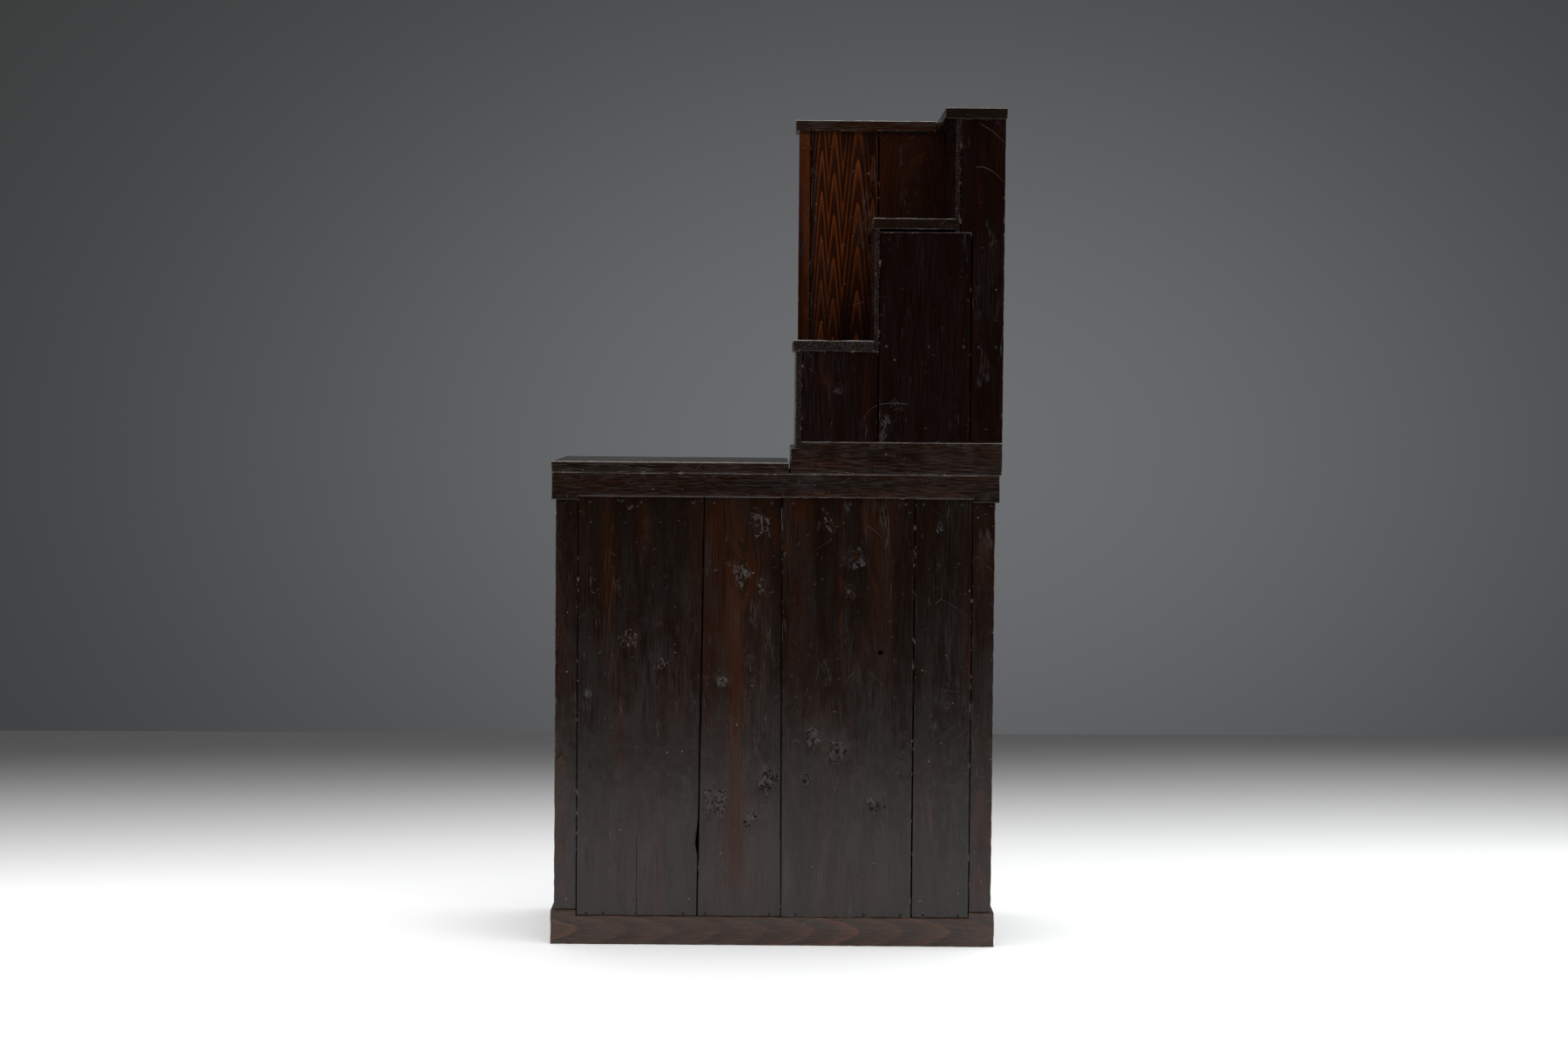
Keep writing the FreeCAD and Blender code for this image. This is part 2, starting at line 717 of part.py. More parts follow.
def drawer(name, left, right, floor, top, back):
    """One drawer in its opening: front, tray, and an iron bail on two eye posts."""
    front_x = (f"{left} + side_gap", f"{right} - side_gap")
    front_z = (f"{floor} + running_gap", f"{top} - side_gap")
    inner = "drawer_face - drawer_front_thick"
    front = slab(f"{name}_drawer_front", "XZ_Plane", corners(front_x, front_z), inner, "drawer_face")
    face = value("drawer_face")
    soften(front, "PartDesign::Chamfer", "drawer_front_edge",
           lambda edge: not runs_along(edge, "y") and abs(edge.CenterOfMass.y - face) < face / 1000)
    wall_x = (f"{left} + side_gap * 3", f"{right} - side_gap * 3")
    wall_z = (f"{floor} + running_gap + drawer_bottom_thick", f"{top} - drawer_wall_drop")
    between = (f"{wall_x[0]} + drawer_wall", f"{wall_x[1]} - drawer_wall")
    rear = (f"{back} + drawer_back_gap", f"{back} + drawer_back_gap + drawer_wall")
    whole = (rear[0], inner)
    tray = group(f"{name}_drawer_tray", [
        block(f"{name}_bottom", wall_x, whole, (f"{floor} + running_gap", wall_z[0])),
        block(f"{name}_left_wall", (wall_x[0], between[0]), whole, wall_z),
        block(f"{name}_right_wall", (between[1], wall_x[1]), whole, wall_z),
        block(f"{name}_rear_wall", between, rear, wall_z),
    ])
    middle = f"(({left}) + ({right})) / 2"
    height = f"(({floor}) + ({top})) / 2 + bail_rise"
    return [front, tray, bail_posts(name, middle, height), bail(name, middle, height)]


def bail_posts(name, middle, height):
    pieces = []
    for side, sign in (("left", "-"), ("right", "+")):
        label = f"{name}_{side}"
        across = f"{middle} {sign} bail_span / 2"
        plate = round_piece(f"{label}_rosette", "Cone", "y", (across, "drawer_face", height),
                            {"Radius1": "rosette_radius", "Radius2": "rosette_edge_radius",
                             "Height": "rosette_thick"})
        shank = round_piece(f"{label}_shank", "Cylinder", "y",
                            (across, "drawer_face + rosette_thick", height),
                            {"Radius": "post_radius", "Height": "eye_reach"})
        eye = round_piece(f"{label}_eye", "Cylinder", "x", (f"{across} - eye_width / 2", "eye_line", height),
                          {"Radius": "eye_radius", "Height": "eye_width"})
        hole = round_piece(f"{label}_eye_hole", "Cylinder", "x",
                           (f"{across} - eye_width", "eye_line", height),
                           {"Radius": "bail_radius + eye_gap", "Height": "eye_width * 2"})
        pieces += [plate, carve(f"{label}_post", join(f"{label}_post_blank", [shank, eye]), [hole])]
    return group(f"{name}_bail_posts", pieces)


def bail_path(body, name, middle, height):
    """The centre line of a bail: pin, bend, leg, corner, grip and the same again."""
    end = "(bail_span / 2 + eye_width / 2 + bail_end)"
    bend_at = "(bail_span / 2 - eye_width / 2 - side_gap)"
    leg = f"({bend_at} - bail_bend_radius)"
    grip = f"({leg} - bail_corner_radius)"
    stops = [
        (end, "0"), (bend_at, "0"), (leg, "bail_bend_radius"), (leg, "(bail_drop - bail_corner_radius)"),
        (grip, "bail_drop"),
    ]
    left = [(f"{middle} - {across}", f"{height} - {down}") for across, down in stops]
    right = [(f"{middle} + {across}", f"{height} - {down}") for across, down in reversed(stops)]
    points = left + right
    sketch = body.newObject("Sketcher::SketchObject", name + "_bail_path")
    sketch.AttachmentSupport = [(plane_of(body, "XZ_Plane"), "")]
    sketch.MapMode = "FlatFace"
    bind(sketch, "AttachmentOffset.Base.z", "0 - (eye_line)")
    places = [FreeCAD.Vector(value(across), value(up), 0) for across, up in points]
    for first in range(0, len(points), 2):
        line = sketch.addGeometry(Part.LineSegment(places[first], places[first + 1]), False)
        hold(sketch, line, 1, points[first])
        hold(sketch, line, 2, points[first + 1])
    last = len(points) - 2
    for first in range(1, last, 2):
        bend(sketch, places, first, "bail_bend_radius" if first in (1, last - 1) else "bail_corner_radius")
    return sketch


def bend(sketch, places, first, radius):
    """The quarter turn from one point of a path to the next, between a flat run and an upright one."""
    level = abs(places[first].y - places[first - 1].y) < abs(places[first].x - places[first - 1].x)
    flat, upright = (first, first + 1) if level else (first + 1, first)
    centre = FreeCAD.Vector(places[flat].x, places[upright].y, 0)
    angles = {}
    for point in (flat, upright):
        ray = places[point] - centre
        angles[point] = math.atan2(ray.y, ray.x) % math.tau
    begin, finish = flat, upright
    if (angles[finish] - angles[begin]) % math.tau > math.pi:
        begin, finish = upright, flat
    circle = Part.Circle(centre, FreeCAD.Vector(0, 0, 1), value(radius))
    turn = (angles[finish] - angles[begin]) % math.tau
    arc = sketch.addGeometry(Part.ArcOfCircle(circle, angles[begin], angles[begin] + turn), False)
    for point, end in ((begin, 1), (finish, 2)):
        sketch.addConstraint(Sketcher.Constraint("Coincident", point // 2, 1 + point % 2, arc, end))
    ring = sketch.addConstraint(Sketcher.Constraint("Radius", arc, value(radius)))
    sketch.setExpression(f"Constraints[{ring}]", formula(radius))


def bail(name, middle, height):
    """The swinging iron handle: a bent eight-sided rod with a knob outside each eye."""
    rod = new_body(f"{name}_bail_rod")
    path = bail_path(rod, name, middle, height)
    reach = "(bail_span / 2 + eye_width / 2 + bail_end)"
    sides = range(8)
    corners_of_rod = []
    for side in sides:
        angle = math.tau * (side + 0.5) / len(sides)
        corners_of_rod.append((f"eye_line + bail_radius * {math.cos(angle):.4f}",
                               f"{height} + bail_radius * {math.sin(angle):.4f}"))
    section = outline(rod, f"{name}_bail_section", "YZ_Plane", f"{middle} - {reach}", corners_of_rod)
    doc.recompute()
    pipe = rod.newObject("PartDesign::AdditivePipe", f"{name}_bail_pipe")
    pipe.Profile = section
    pipe.Spine = (path, [])
    knobs = []
    for side, sign in (("left", "-"), ("right", "+")):
        start = (f"{middle} {sign} {reach} - bail_knob_length / 2", "eye_line", height)
        knobs.append(round_piece(f"{name}_{side}_knob", "Cylinder", "x", start,
                                 {"Radius": "bail_knob_radius", "Height": "bail_knob_length"}))
    return join(f"{name}_bail", [rod] + knobs)


def door_rail(label, across, face, edge, way):
    """A door rail with the tongue that runs in the groove below it or above it."""
    sign, back = ("+", "-") if way == "down" else ("-", "+")
    inner = f"{face} - door_thick"
    middle = f"{face} - door_thick / 2"
    shoulder = f"{edge} {sign} side_gap"
    far = f"{edge} {sign} door_rail_width"
    tip = f"{edge} - lower_groove_depth + running_gap" if way == "down" else f"{edge} + tongue_length"
    near_side, far_side = f"{middle} - tongue_thick / 2", f"{middle} + tongue_thick / 2"
    section = [
        (inner, far), (inner, shoulder), (near_side, shoulder), (near_side, tip),
        (far_side, tip), (far_side, shoulder), (face, shoulder), (face, far),
    ]
    return slab(label, "YZ_Plane", section, *across)


def door(name, across, face, floor, top, pull_side):
    """A sliding door: a frame of rails, stiles and battens round a thin panel."""
    left, right = across
    inner = f"{face} - door_thick"
    stile_z = (f"{floor} + door_rail_width", f"{top} - door_rail_width")
    panel_x = (f"{left} + door_stile_width", f"{right} - door_stile_width")
    pieces = [
        door_rail(f"{name}_foot_rail", across, face, floor, "down"),
        door_rail(f"{name}_head_rail", across, face, top, "up"),
    ]
    for side, edges in (("left", (left, panel_x[0])), ("right", (panel_x[1], right))):
        label = f"{name}_{side}_stile"
        if side == pull_side:
            blank = block(label + "_blank", edges, (inner, face), stile_z)
            start = (f"({edges[0]} + {edges[1]}) / 2", f"{face} - pull_depth", f"({floor} + {top}) / 2")
            dish = round_piece(label + "_pull", "Cylinder", "y", start,
                               {"Radius": "pull_radius", "Height": "door_thick"})
            pieces.append(carve(label, blank, [dish]))
        else:
            pieces.append(block(label, edges, (inner, face), stile_z))
    board_face = f"{face} - door_batten_thick"
    for number, share in enumerate(BATTEN_SHARES, start=1):
        level = f"{stile_z[0]} + ({stile_z[1]} - ({stile_z[0]}) - door_batten_width) * {share}"
        pieces.append(block(f"{name}_batten_{number}", panel_x, (board_face, face),
                            (level, f"{level} + door_batten_width")))
    panel = block(f"{name}_door_panel", panel_x, (f"{board_face} - door_panel_thick", board_face), stile_z)
    return [group(f"{name}_door_frame", pieces), panel]


def door_pair(name, opening, floor, top):
    """Two doors that pass each other, the left one in the front track."""
    left, right = opening
    reach = f"(({right}) - ({left}) + door_overlap) / 2"
    front_face, rear_face = track_lines()
    left_across = (f"{left} + running_gap", f"{left} + {reach}")
    right_across = (f"{right} - {reach}", f"{right} - running_gap")
    return (door(f"{name}_left", left_across, front_face, floor, top, "left")
            + door(f"{name}_right", right_across, rear_face, floor, top, "right"))


def moving_parts():
    """The drawers and doors of both chests."""
    half = "divider_width / 2"
    row = ("drawer_row_level", "head_level", "posts_inner_back")
    parts = drawer("lower_left", "field_left", f"0 - {half}", *row)
    parts += drawer("lower_right", half, "field_right", *row)
    parts += drawer("upper", "lower_side_inner", "right_side_inner", "upper_floor_level",
                    "lower_tread_under", "board_inner")
    parts += door_pair("lower", ("field_left", "field_right"), "base_height",
                       "drawer_row_level - front_rail_height")
    parts += door_pair("upper", ("upper_side_inner", "right_side_inner"), "lower_tread_top", "head_rail_under")
    return parts


def build():
    fill_sheet()
    parts = lower_frame() + back_planks() + lower_inside()
    parts += upper_base() + stair_boards() + stair_wall() + upper_inside()
    parts += [nails()] + moving_parts()
    doc.recompute()
    return parts


def check(parts):
    """Stop if a feature failed or a piece is empty or invalid."""
    for thing in doc.Objects:
        if "Invalid" in thing.State or "Error" in thing.State:
            raise RuntimeError(f"{thing.Label} failed: {thing.State}")
    for part in parts:
        if part.Shape.isNull() or not part.Shape.isValid():
            raise RuntimeError(f"{part.Label} has no sound shape")


def write(parts):
    for part in parts:
        part.Shape.exportStep(os.path.join("parts", part.Label + ".step"))
    print(len(parts), "pieces written")


pieces = build()
check(pieces)
write(pieces)
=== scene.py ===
"""Looks of a step chest in two sections: worn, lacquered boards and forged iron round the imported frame."""

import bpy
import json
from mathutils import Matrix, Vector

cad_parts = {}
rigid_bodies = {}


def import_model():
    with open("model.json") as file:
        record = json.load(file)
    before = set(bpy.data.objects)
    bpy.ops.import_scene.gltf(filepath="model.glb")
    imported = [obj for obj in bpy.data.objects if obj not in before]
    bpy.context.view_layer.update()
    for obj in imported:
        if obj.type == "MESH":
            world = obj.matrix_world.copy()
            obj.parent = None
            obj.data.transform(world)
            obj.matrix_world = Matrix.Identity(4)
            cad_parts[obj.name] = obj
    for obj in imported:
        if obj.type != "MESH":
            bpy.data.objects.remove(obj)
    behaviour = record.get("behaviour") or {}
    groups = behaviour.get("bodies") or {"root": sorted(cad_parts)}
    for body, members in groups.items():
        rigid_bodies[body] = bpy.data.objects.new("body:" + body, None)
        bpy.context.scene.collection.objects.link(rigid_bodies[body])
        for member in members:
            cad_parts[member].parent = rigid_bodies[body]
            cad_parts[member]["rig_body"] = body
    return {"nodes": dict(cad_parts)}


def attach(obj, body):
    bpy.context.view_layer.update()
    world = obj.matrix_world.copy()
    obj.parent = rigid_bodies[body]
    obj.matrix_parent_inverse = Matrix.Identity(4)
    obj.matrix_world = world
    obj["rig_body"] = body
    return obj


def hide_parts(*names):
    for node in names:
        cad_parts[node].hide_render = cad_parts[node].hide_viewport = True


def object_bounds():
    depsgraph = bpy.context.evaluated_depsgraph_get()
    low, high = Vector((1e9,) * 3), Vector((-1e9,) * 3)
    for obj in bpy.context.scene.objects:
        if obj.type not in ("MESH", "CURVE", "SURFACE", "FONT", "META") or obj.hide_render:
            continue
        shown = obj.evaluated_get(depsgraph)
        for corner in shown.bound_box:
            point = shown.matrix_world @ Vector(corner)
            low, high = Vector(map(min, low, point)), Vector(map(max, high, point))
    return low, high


bl_info = {
    "name": "Step Chest",
    "version": (1, 0, 0),
    "blender": (4, 5, 0),
    "location": "View3D > Sidebar > Step Chest",
    "description": "Cuts, wears and lacquers the boards of a step chest and lights them",
    "category": "Object",
}

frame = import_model()
FRAME_LOW, FRAME_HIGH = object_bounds()

import json
import math
import random
from collections import namedtuple

import bmesh
import bpy
import numpy as np
from bpy.props import FloatProperty, FloatVectorProperty, IntProperty, PointerProperty
from mathutils import Matrix, Vector, noise

# How a board is cut: its finish, the rounding of its edges, the size of its mesh cells across the
# grain, the depth of the plane marks on it, how deep its edges are nibbled, and how scuffed it is
Cut = namedtuple("Cut", "finish arris cell relief nibble scuff")

PLANK = Cut("plank_lacquer", 0.0012, 0.006, 0.0007, 0.0010, 0.03)
PANEL = Cut("panel_lacquer", 0.0010, 0.006, 0.0006, 0.0009, 0.04)
RAIL = Cut("rail_lacquer", 0.0016, 0.007, 0.0008, 0.0016, 0.32)
POST = Cut("rail_lacquer", 0.0016, 0.007, 0.0008, 0.0016, 0.08)
BASE = Cut("base_lacquer", 0.0016, 0.007, 0.0008, 0.0016, 0.45)
HIGH_STEP = Cut("high_step_lacquer", 0.0018, 0.006, 0.0010, 0.0016, 0.12)
STEP = Cut("step_lacquer", 0.0018, 0.006, 0.0010, 0.0016, 0.50)
AMBER = Cut("amber_lacquer", 0.0010, 0.006, 0.0003, 0.0005, 0.0)
FLAME = Cut("flame_lacquer", 0.0010, 0.003, 0.0003, 0.0005, 0.0)
DARK_WALL = Cut("dark_wall_lacquer", 0.0010, 0.008, 0.0004, 0.0006, 0.0)
CEDAR = Cut("bare_cedar", 0.0012, 0.030, 0.0003, 0.0005, 0.0)
FRONT = Cut("front_lacquer", 0.0010, 0.010, 0.0003, 0.0006, 0.04)
FORGED = Cut("forged_iron", 0.0005, 0.004, 0.0002, 0.0003, 0.0)

LOWER_PLANKS = ("back_plank_1", "back_plank_2", "back_plank_3", "back_plank_4")
FRAME_CUTS = {
    "base_rail_back": BASE, "top_rail_back": RAIL, "base_rail_front": BASE, "top_rail_front": RAIL,
    "side_rails": RAIL, "back_posts": POST, "front_posts": POST, "front_rail": RAIL, "drawer_divider": RAIL,
    "upper_base_rail_back": RAIL, "upper_base_frame": RAIL, "upper_front_rails": RAIL,
}
PANELS = ("side_panels", "back_panel_left", "back_panel_middle", "back_board_right", "riser_lower",
          "riser_middle", "riser_upper", "upper_left_side", "upper_right_side")
JOINED = LOWER_PLANKS + ("back_panel_left", "back_panel_middle", "back_board_right", "wall_flame_board",
                         "wall_dark_board")
STEP_CUTS = {
    "top_board": STEP, "tread_lower": STEP, "tread_middle": HIGH_STEP, "tread_top": HIGH_STEP, "cap_board": RAIL,
}
INSIDE = ("floor_board", "back_cross_rail", "cupboard_shelf", "runners_and_cleats", "upper_floor", "upper_shelf")
DRAWERS = ("lower_left", "lower_right", "upper")
DRAWER_CUTS = (("drawer_front", FRONT), ("drawer_tray", CEDAR), ("bail_posts", FORGED), ("bail", FORGED))
DOORS = ("lower_left", "lower_right", "upper_left", "upper_right")

# The knots and burrs of each board: the shares of its width and height where each lies, and its radius
BURRS = {
    "back_plank_1": ((0.42, 0.655, 0.022), (0.67, 0.6, 0.016), (0.42, 0.975, 0.01), (0.52, 0.935, 0.011),
        (0.1, 0.525, 0.01)),
    "back_plank_2": ((0.72, 0.935, 0.03), (0.48, 0.815, 0.024), (0.74, 0.79, 0.015), (0.28, 0.56, 0.014),
        (0.6, 0.6, 0.012), (0.8, 0.325, 0.024), (0.62, 0.235, 0.014), (0.22, 0.27, 0.03), (0.3, 0.1, 0.012)),
    "back_plank_3": ((0.36, 0.945, 0.026), (0.55, 0.86, 0.022), (0.53, 0.77, 0.01), (0.25, 0.425, 0.022),
        (0.42, 0.4, 0.024), (0.73, 0.27, 0.022), (0.2, 0.33, 0.012)),
    "back_plank_4": ((0.42, 0.93, 0.013), (0.6, 0.5, 0.01)),
    "back_panel_left": ((0.49, 0.58, 0.014),),
    "back_panel_middle": ((0.03, 0.08, 0.034), (0.22, 0.16, 0.014)),
}

# Where the wood of each board glows through thin lacquer: the shares of its width and height, and the
# half width and half height of the patch
GLOWS = {
    "back_plank_1": ((0.54, 0.92, 0.018, 0.07), (0.25, 0.83, 0.022, 0.12), (0.64, 0.71, 0.01, 0.04),
        (0.35, 0.45, 0.015, 0.15), (0.5, 0.1, 0.08, 0.12)),
    "back_plank_2": ((0.15, 0.92, 0.016, 0.06), (0.6, 0.83, 0.014, 0.07), (0.47, 0.56, 0.014, 0.18),
        (0.9, 0.91, 0.01, 0.035), (0.45, 0.24, 0.018, 0.12), (0.5, 0.14, 0.06, 0.16), (0.3, 0.7, 0.03, 0.1),
        (0.44, 0.42, 0.014, 0.17), (0.44, 0.2, 0.016, 0.12)),
    "back_plank_3": ((0.13, 0.96, 0.018, 0.035), (0.63, 0.94, 0.018, 0.06), (0.05, 0.88, 0.007, 0.03),
        (0.45, 0.77, 0.007, 0.17), (0.61, 0.63, 0.013, 0.06), (0.51, 0.32, 0.022, 0.2), (0.5, 0.06, 0.08, 0.1)),
    "back_plank_4": ((0.3, 0.3, 0.012, 0.15),),
    "back_board_right": ((0.45, 0.8, 0.018, 0.15), (0.35, 0.3, 0.012, 0.12)),
    "back_panel_middle": ((0.46, 0.36, 0.009, 0.035),),
    "back_panel_left": ((0.3, 0.72, 0.016, 0.03), (0.88, 0.45, 0.012, 0.07)),
    "upper_base_rail_back": ((0.62, 0.2, 0.12, 0.018), (0.15, 0.25, 0.08, 0.018)),
    "top_rail_back": ((0.88, 0.4, 0.06, 0.02), (0.62, 0.3, 0.09, 0.016)),
    "base_rail_back": ((0.25, 0.45, 0.1, 0.02), (0.68, 0.55, 0.12, 0.02)),
    "wall_edge_board": ((0.5, 0.7, 0.03, 0.3),),
    "back_posts": ((0.5, 0.15, 0.03, 0.22), (0.4, 0.2, 0.016, 0.2)),
}
GLOW_GAIN = 1.1

# How much glow a board has of its own: less than nought dims its patches of thin lacquer, and more than
# one brightens them; a board that isn't listed gets a random share of TONE_REST
TONES = {
    "back_plank_1": 0.40, "back_plank_2": 0.75, "back_plank_3": 0.36, "back_plank_4": 0.15,
    "back_panel_left": 0.35, "back_panel_middle": 0.15, "back_board_right": 0.45,
    "wall_edge_board": -0.35, "wall_flame_board": 0.65, "wall_dark_board": 1.30, "cap_board": 1.7,
    "back_posts": 0.05, "base_rail_back": 1.60, "top_board": 0.50, "tread_lower": 0.30,
    "tread_middle": 0.20, "tread_top": 0.10, "upper_base_rail_back": 0.20,
}

# The columns of flames in the wall: the share of the board's width where each stands, how blunt its
# points are, how far it lags behind the others, and how sharply its rings close; then how steeply the
# rings climb, and how far a column shines to its sides
FLAME_BOARD = "wall_flame_board"
FLAMES = ((0.17, 0.0045, 0.0000, 0.60), (0.35, 0.0060, 0.0012, 0.58), (0.70, 0.0090, -0.0040, 0.46),
          (0.92, 0.0050, 0.0050, 0.60))
FLAME_RISE = 0.043
FLAME_REACH = 0.009
# How brightly they burn: along their columns, between them, how much more the upper ones do, and how fast
# that grows from the foot
FLAME_BRIGHT, FLAME_BETWEEN, FLAME_UPWARD, FLAME_CLIMB, FLAME_FOOT = 1.6, 0.7, 1.3, 3, 0.6

# The drying crack in the first plank: where it lies, how far up it runs, how wide and deep it is, how far
# in from the outer face it is cut, and over what length it closes
CRACK_BOARD = "back_plank_1"
CRACK_ACROSS_SHARE = 0.480
CRACK_TOP_SHARE = 0.190
CRACK_HALF_WIDTH = 0.0006
CRACK_DEPTH, CRACK_SKIN, CRACK_FADE = 0.004, 0.002, 0.03

# Extra rows in a board's mesh: below the planks' upper ends, and beside the joints
END_ROW, JOINT_ROW = 0.003, 0.0022
# How a board lies in its tree: the reach of its noises' shift, and the shares of lean, side and tone
SHIFT_REACH, LEAN_SHARES, SIDE_SHARES, TONE_REST = 50, (0.4, 1.0), (0.25, 0.75), 0.8
# A burr: how tall it is for its width, how far the rings bulge round it, and how it is torn
BURR_TALL, BULGE, BULGE_WIDE, BULGE_TALL = 1.15, 0.010, 1.3, 3.4
BURR_DEPTH, BURR_MARKS = 0.0012, (150, 150, 90)
# The marks of the plane, across the grain, along it and on the edges, and the nibbling of the arrises
MARKS_ACROSS, MARKS_ALONG, EDGE_MARKS = 22.0, 8.0, 0.1
NIBBLE_SCALE, NIBBLE_REACH, NIBBLE_BIAS = (55, 55, 55), 0.004, 0.25
# Strips along an edge: how scuffed those of the risers, plank ends and flame board are, how dark the last one is,
# and how wide each is; the strip at the plank ends is partly wear and partly a painted highlight
RISER_SCUFF, RISER_STRIP, END_SCUFF_AND_HIGHLIGHT, END_HIGHLIGHT_STRIP = 0.75, 0.0015, 1.0, 0.002
FLAME_SCUFF, FLAME_STRIP, FLAME_SHADE, FLAME_SHADE_STRIP = 0.7, 0.008, 2.0, 0.012

WELD = 1e-6
FLAT_ANGLE = math.radians(0.5)
SHARP_ANGLE = math.radians(30)
CREASE_ANGLE = math.radians(50)

# The photographed frame, and two points on the far edge of its floor
PHOTO_WIDTH, PHOTO_HEIGHT = 1800, 1200
FAR_EDGE_LEFT_PIXEL = (0, 839)
FAR_EDGE_RIGHT_PIXEL = (1800, 845)


class ChestBoards(bpy.types.PropertyGroup):
    ring_spacing: FloatProperty(
        name="Ring spacing", description="Distance between the growth rings of the timber",
        default=0.0042, min=0.001, max=0.02, unit="LENGTH")
    heart_near: FloatProperty(
        name="Nearest heart", description="Least distance from a board to the heart of its tree",
        default=0.05, min=0.0, max=0.5, unit="LENGTH")
    heart_far: FloatProperty(
        name="Furthest heart", description="Greatest distance from a board to the heart of its tree",
        default=0.16, min=0.0, max=0.5, unit="LENGTH")
    lean: FloatProperty(
        name="Grain lean", description="How far the grain leans through a board, per metre of its length",
        default=0.045, min=0.0, max=0.5, unit="LENGTH")
    seed: IntProperty(name="Seed", description="Chooses the tree that each board is cut from", default=3, min=0)


class ChestFinish(bpy.types.PropertyGroup):
    lacquer: FloatVectorProperty(
        name="Lacquer", description="Colour of the boards where the lacquer is thick",
        default=(0.0082, 0.0030, 0.0009), min=0, max=1, subtype="COLOR")
    glow: FloatVectorProperty(
        name="Glow", description="Colour of the boards where the wood glows through the lacquer",
        default=(0.042, 0.0105, 0.0023), min=0, max=1, subtype="COLOR")
    crimson: FloatVectorProperty(
        name="Crimson", description="Colour of the upper boards where the wood glows through the lacquer",
        default=(0.032, 0.0062, 0.0024), min=0, max=1, subtype="COLOR")
    russet: FloatVectorProperty(
        name="Russet", description="Colour of the base rail where the lacquer is rubbed thin",
        default=(0.105, 0.037, 0.013), min=0, max=1, subtype="COLOR")
    amber: FloatVectorProperty(
        name="Amber", description="Colour of the flames in the wall behind the steps",
        default=(0.25, 0.054, 0.0062), min=0, max=1, subtype="COLOR")
    worn: FloatVectorProperty(
        name="Worn wood", description="Colour of the wood where the lacquer has worn off the edges",
        default=(0.17, 0.125, 0.095), min=0, max=1, subtype="COLOR")
    # The same colour, made paler, paints the highlights and glints on upper edges, plank ends, slivers, spots and
    # short scratches
    dust: FloatVectorProperty(
        name="Dust", description="Colour of the dull film in scratches and rough places",
        default=(0.120, 0.115, 0.110), min=0, max=1, subtype="COLOR")
    ember: FloatVectorProperty(
        name="Ember", description="Colour of the dark wood between the flames",
        default=(0.0065, 0.0016, 0.0006), min=0, max=1, subtype="COLOR")
    cedar_late: FloatVectorProperty(
        name="Cedar rings", description="Colour of the growth rings in the bare wood",
        default=(0.14, 0.075, 0.038), min=0, max=1, subtype="COLOR")
    cedar: FloatVectorProperty(
        name="Bare cedar", description="Colour of the bare wood inside the chest",
        default=(0.30, 0.165, 0.085), min=0, max=1, subtype="COLOR")
    iron: FloatVectorProperty(
        name="Iron", description="Colour of the blackened iron", default=(0.030, 0.028, 0.027),
        min=0, max=1, subtype="COLOR")


class ChestStage(bpy.types.PropertyGroup):
    floor: FloatVectorProperty(
        name="Floor", description="Colour of the floor near the chest", default=(0.95, 0.95, 0.95),
        min=0, max=1, subtype="COLOR")
    # The far floor colour is painted shade, where the light falls off away from the chest
    floor_far: FloatVectorProperty(
        name="Far floor", description="Colour of the floor at its far edge", default=(0.135, 0.135, 0.137),
        min=0, max=1, subtype="COLOR")
    wall: FloatVectorProperty(
        name="Wall", description="Colour of the backdrop behind the chest", default=(0.146, 0.1505, 0.1585),
        min=0, max=1, subtype="COLOR")
    wall_dark: FloatVectorProperty(
        name="Wall shade", description="Colour of the backdrop at its edges", default=(0.0375, 0.0385, 0.0388),
        min=0, max=1, subtype="COLOR")
    fill: FloatProperty(
        name="Fill", description="Strength of the even light from all sides", default=0.32, min=0, max=5)
    lift: FloatProperty(
        name="Floor lift", description="How much whiter than lit the floor looks near the chest", default=0.13,
        min=0, max=1)
    top_lamp: FloatProperty(
        name="Top lamp", description="Power of the soft lamp above", default=220, min=0, max=2000, unit="POWER")
    right_lamp: FloatProperty(
        name="Right lamp", description="Power of the soft lamp on the right", default=18, min=0, max=2000,
        unit="POWER")
    left_lamp: FloatProperty(
        name="Left lamp", description="Power of the soft lamp on the left", default=16, min=0, max=2000,
        unit="POWER")
    camera_place: FloatVectorProperty(
        name="Camera place", description="Where the camera stands", default=(-0.01578, -6.8763, 1.2551),
        subtype="TRANSLATION", unit="LENGTH")
    camera_yaw: FloatProperty(
        name="Yaw", description="How far the camera looks to the right", default=math.radians(0.2696),
        unit="ROTATION")
    camera_pitch: FloatProperty(
        name="Pitch", description="How far the camera looks down", default=math.radians(2.6357), unit="ROTATION")
    camera_roll: FloatProperty(
        name="Roll", description="How far the camera leans", default=math.radians(0.4907), unit="ROTATION")
    lens: FloatProperty(name="Lens", description="Focal length in millimetres", default=68.46, min=1, max=500)


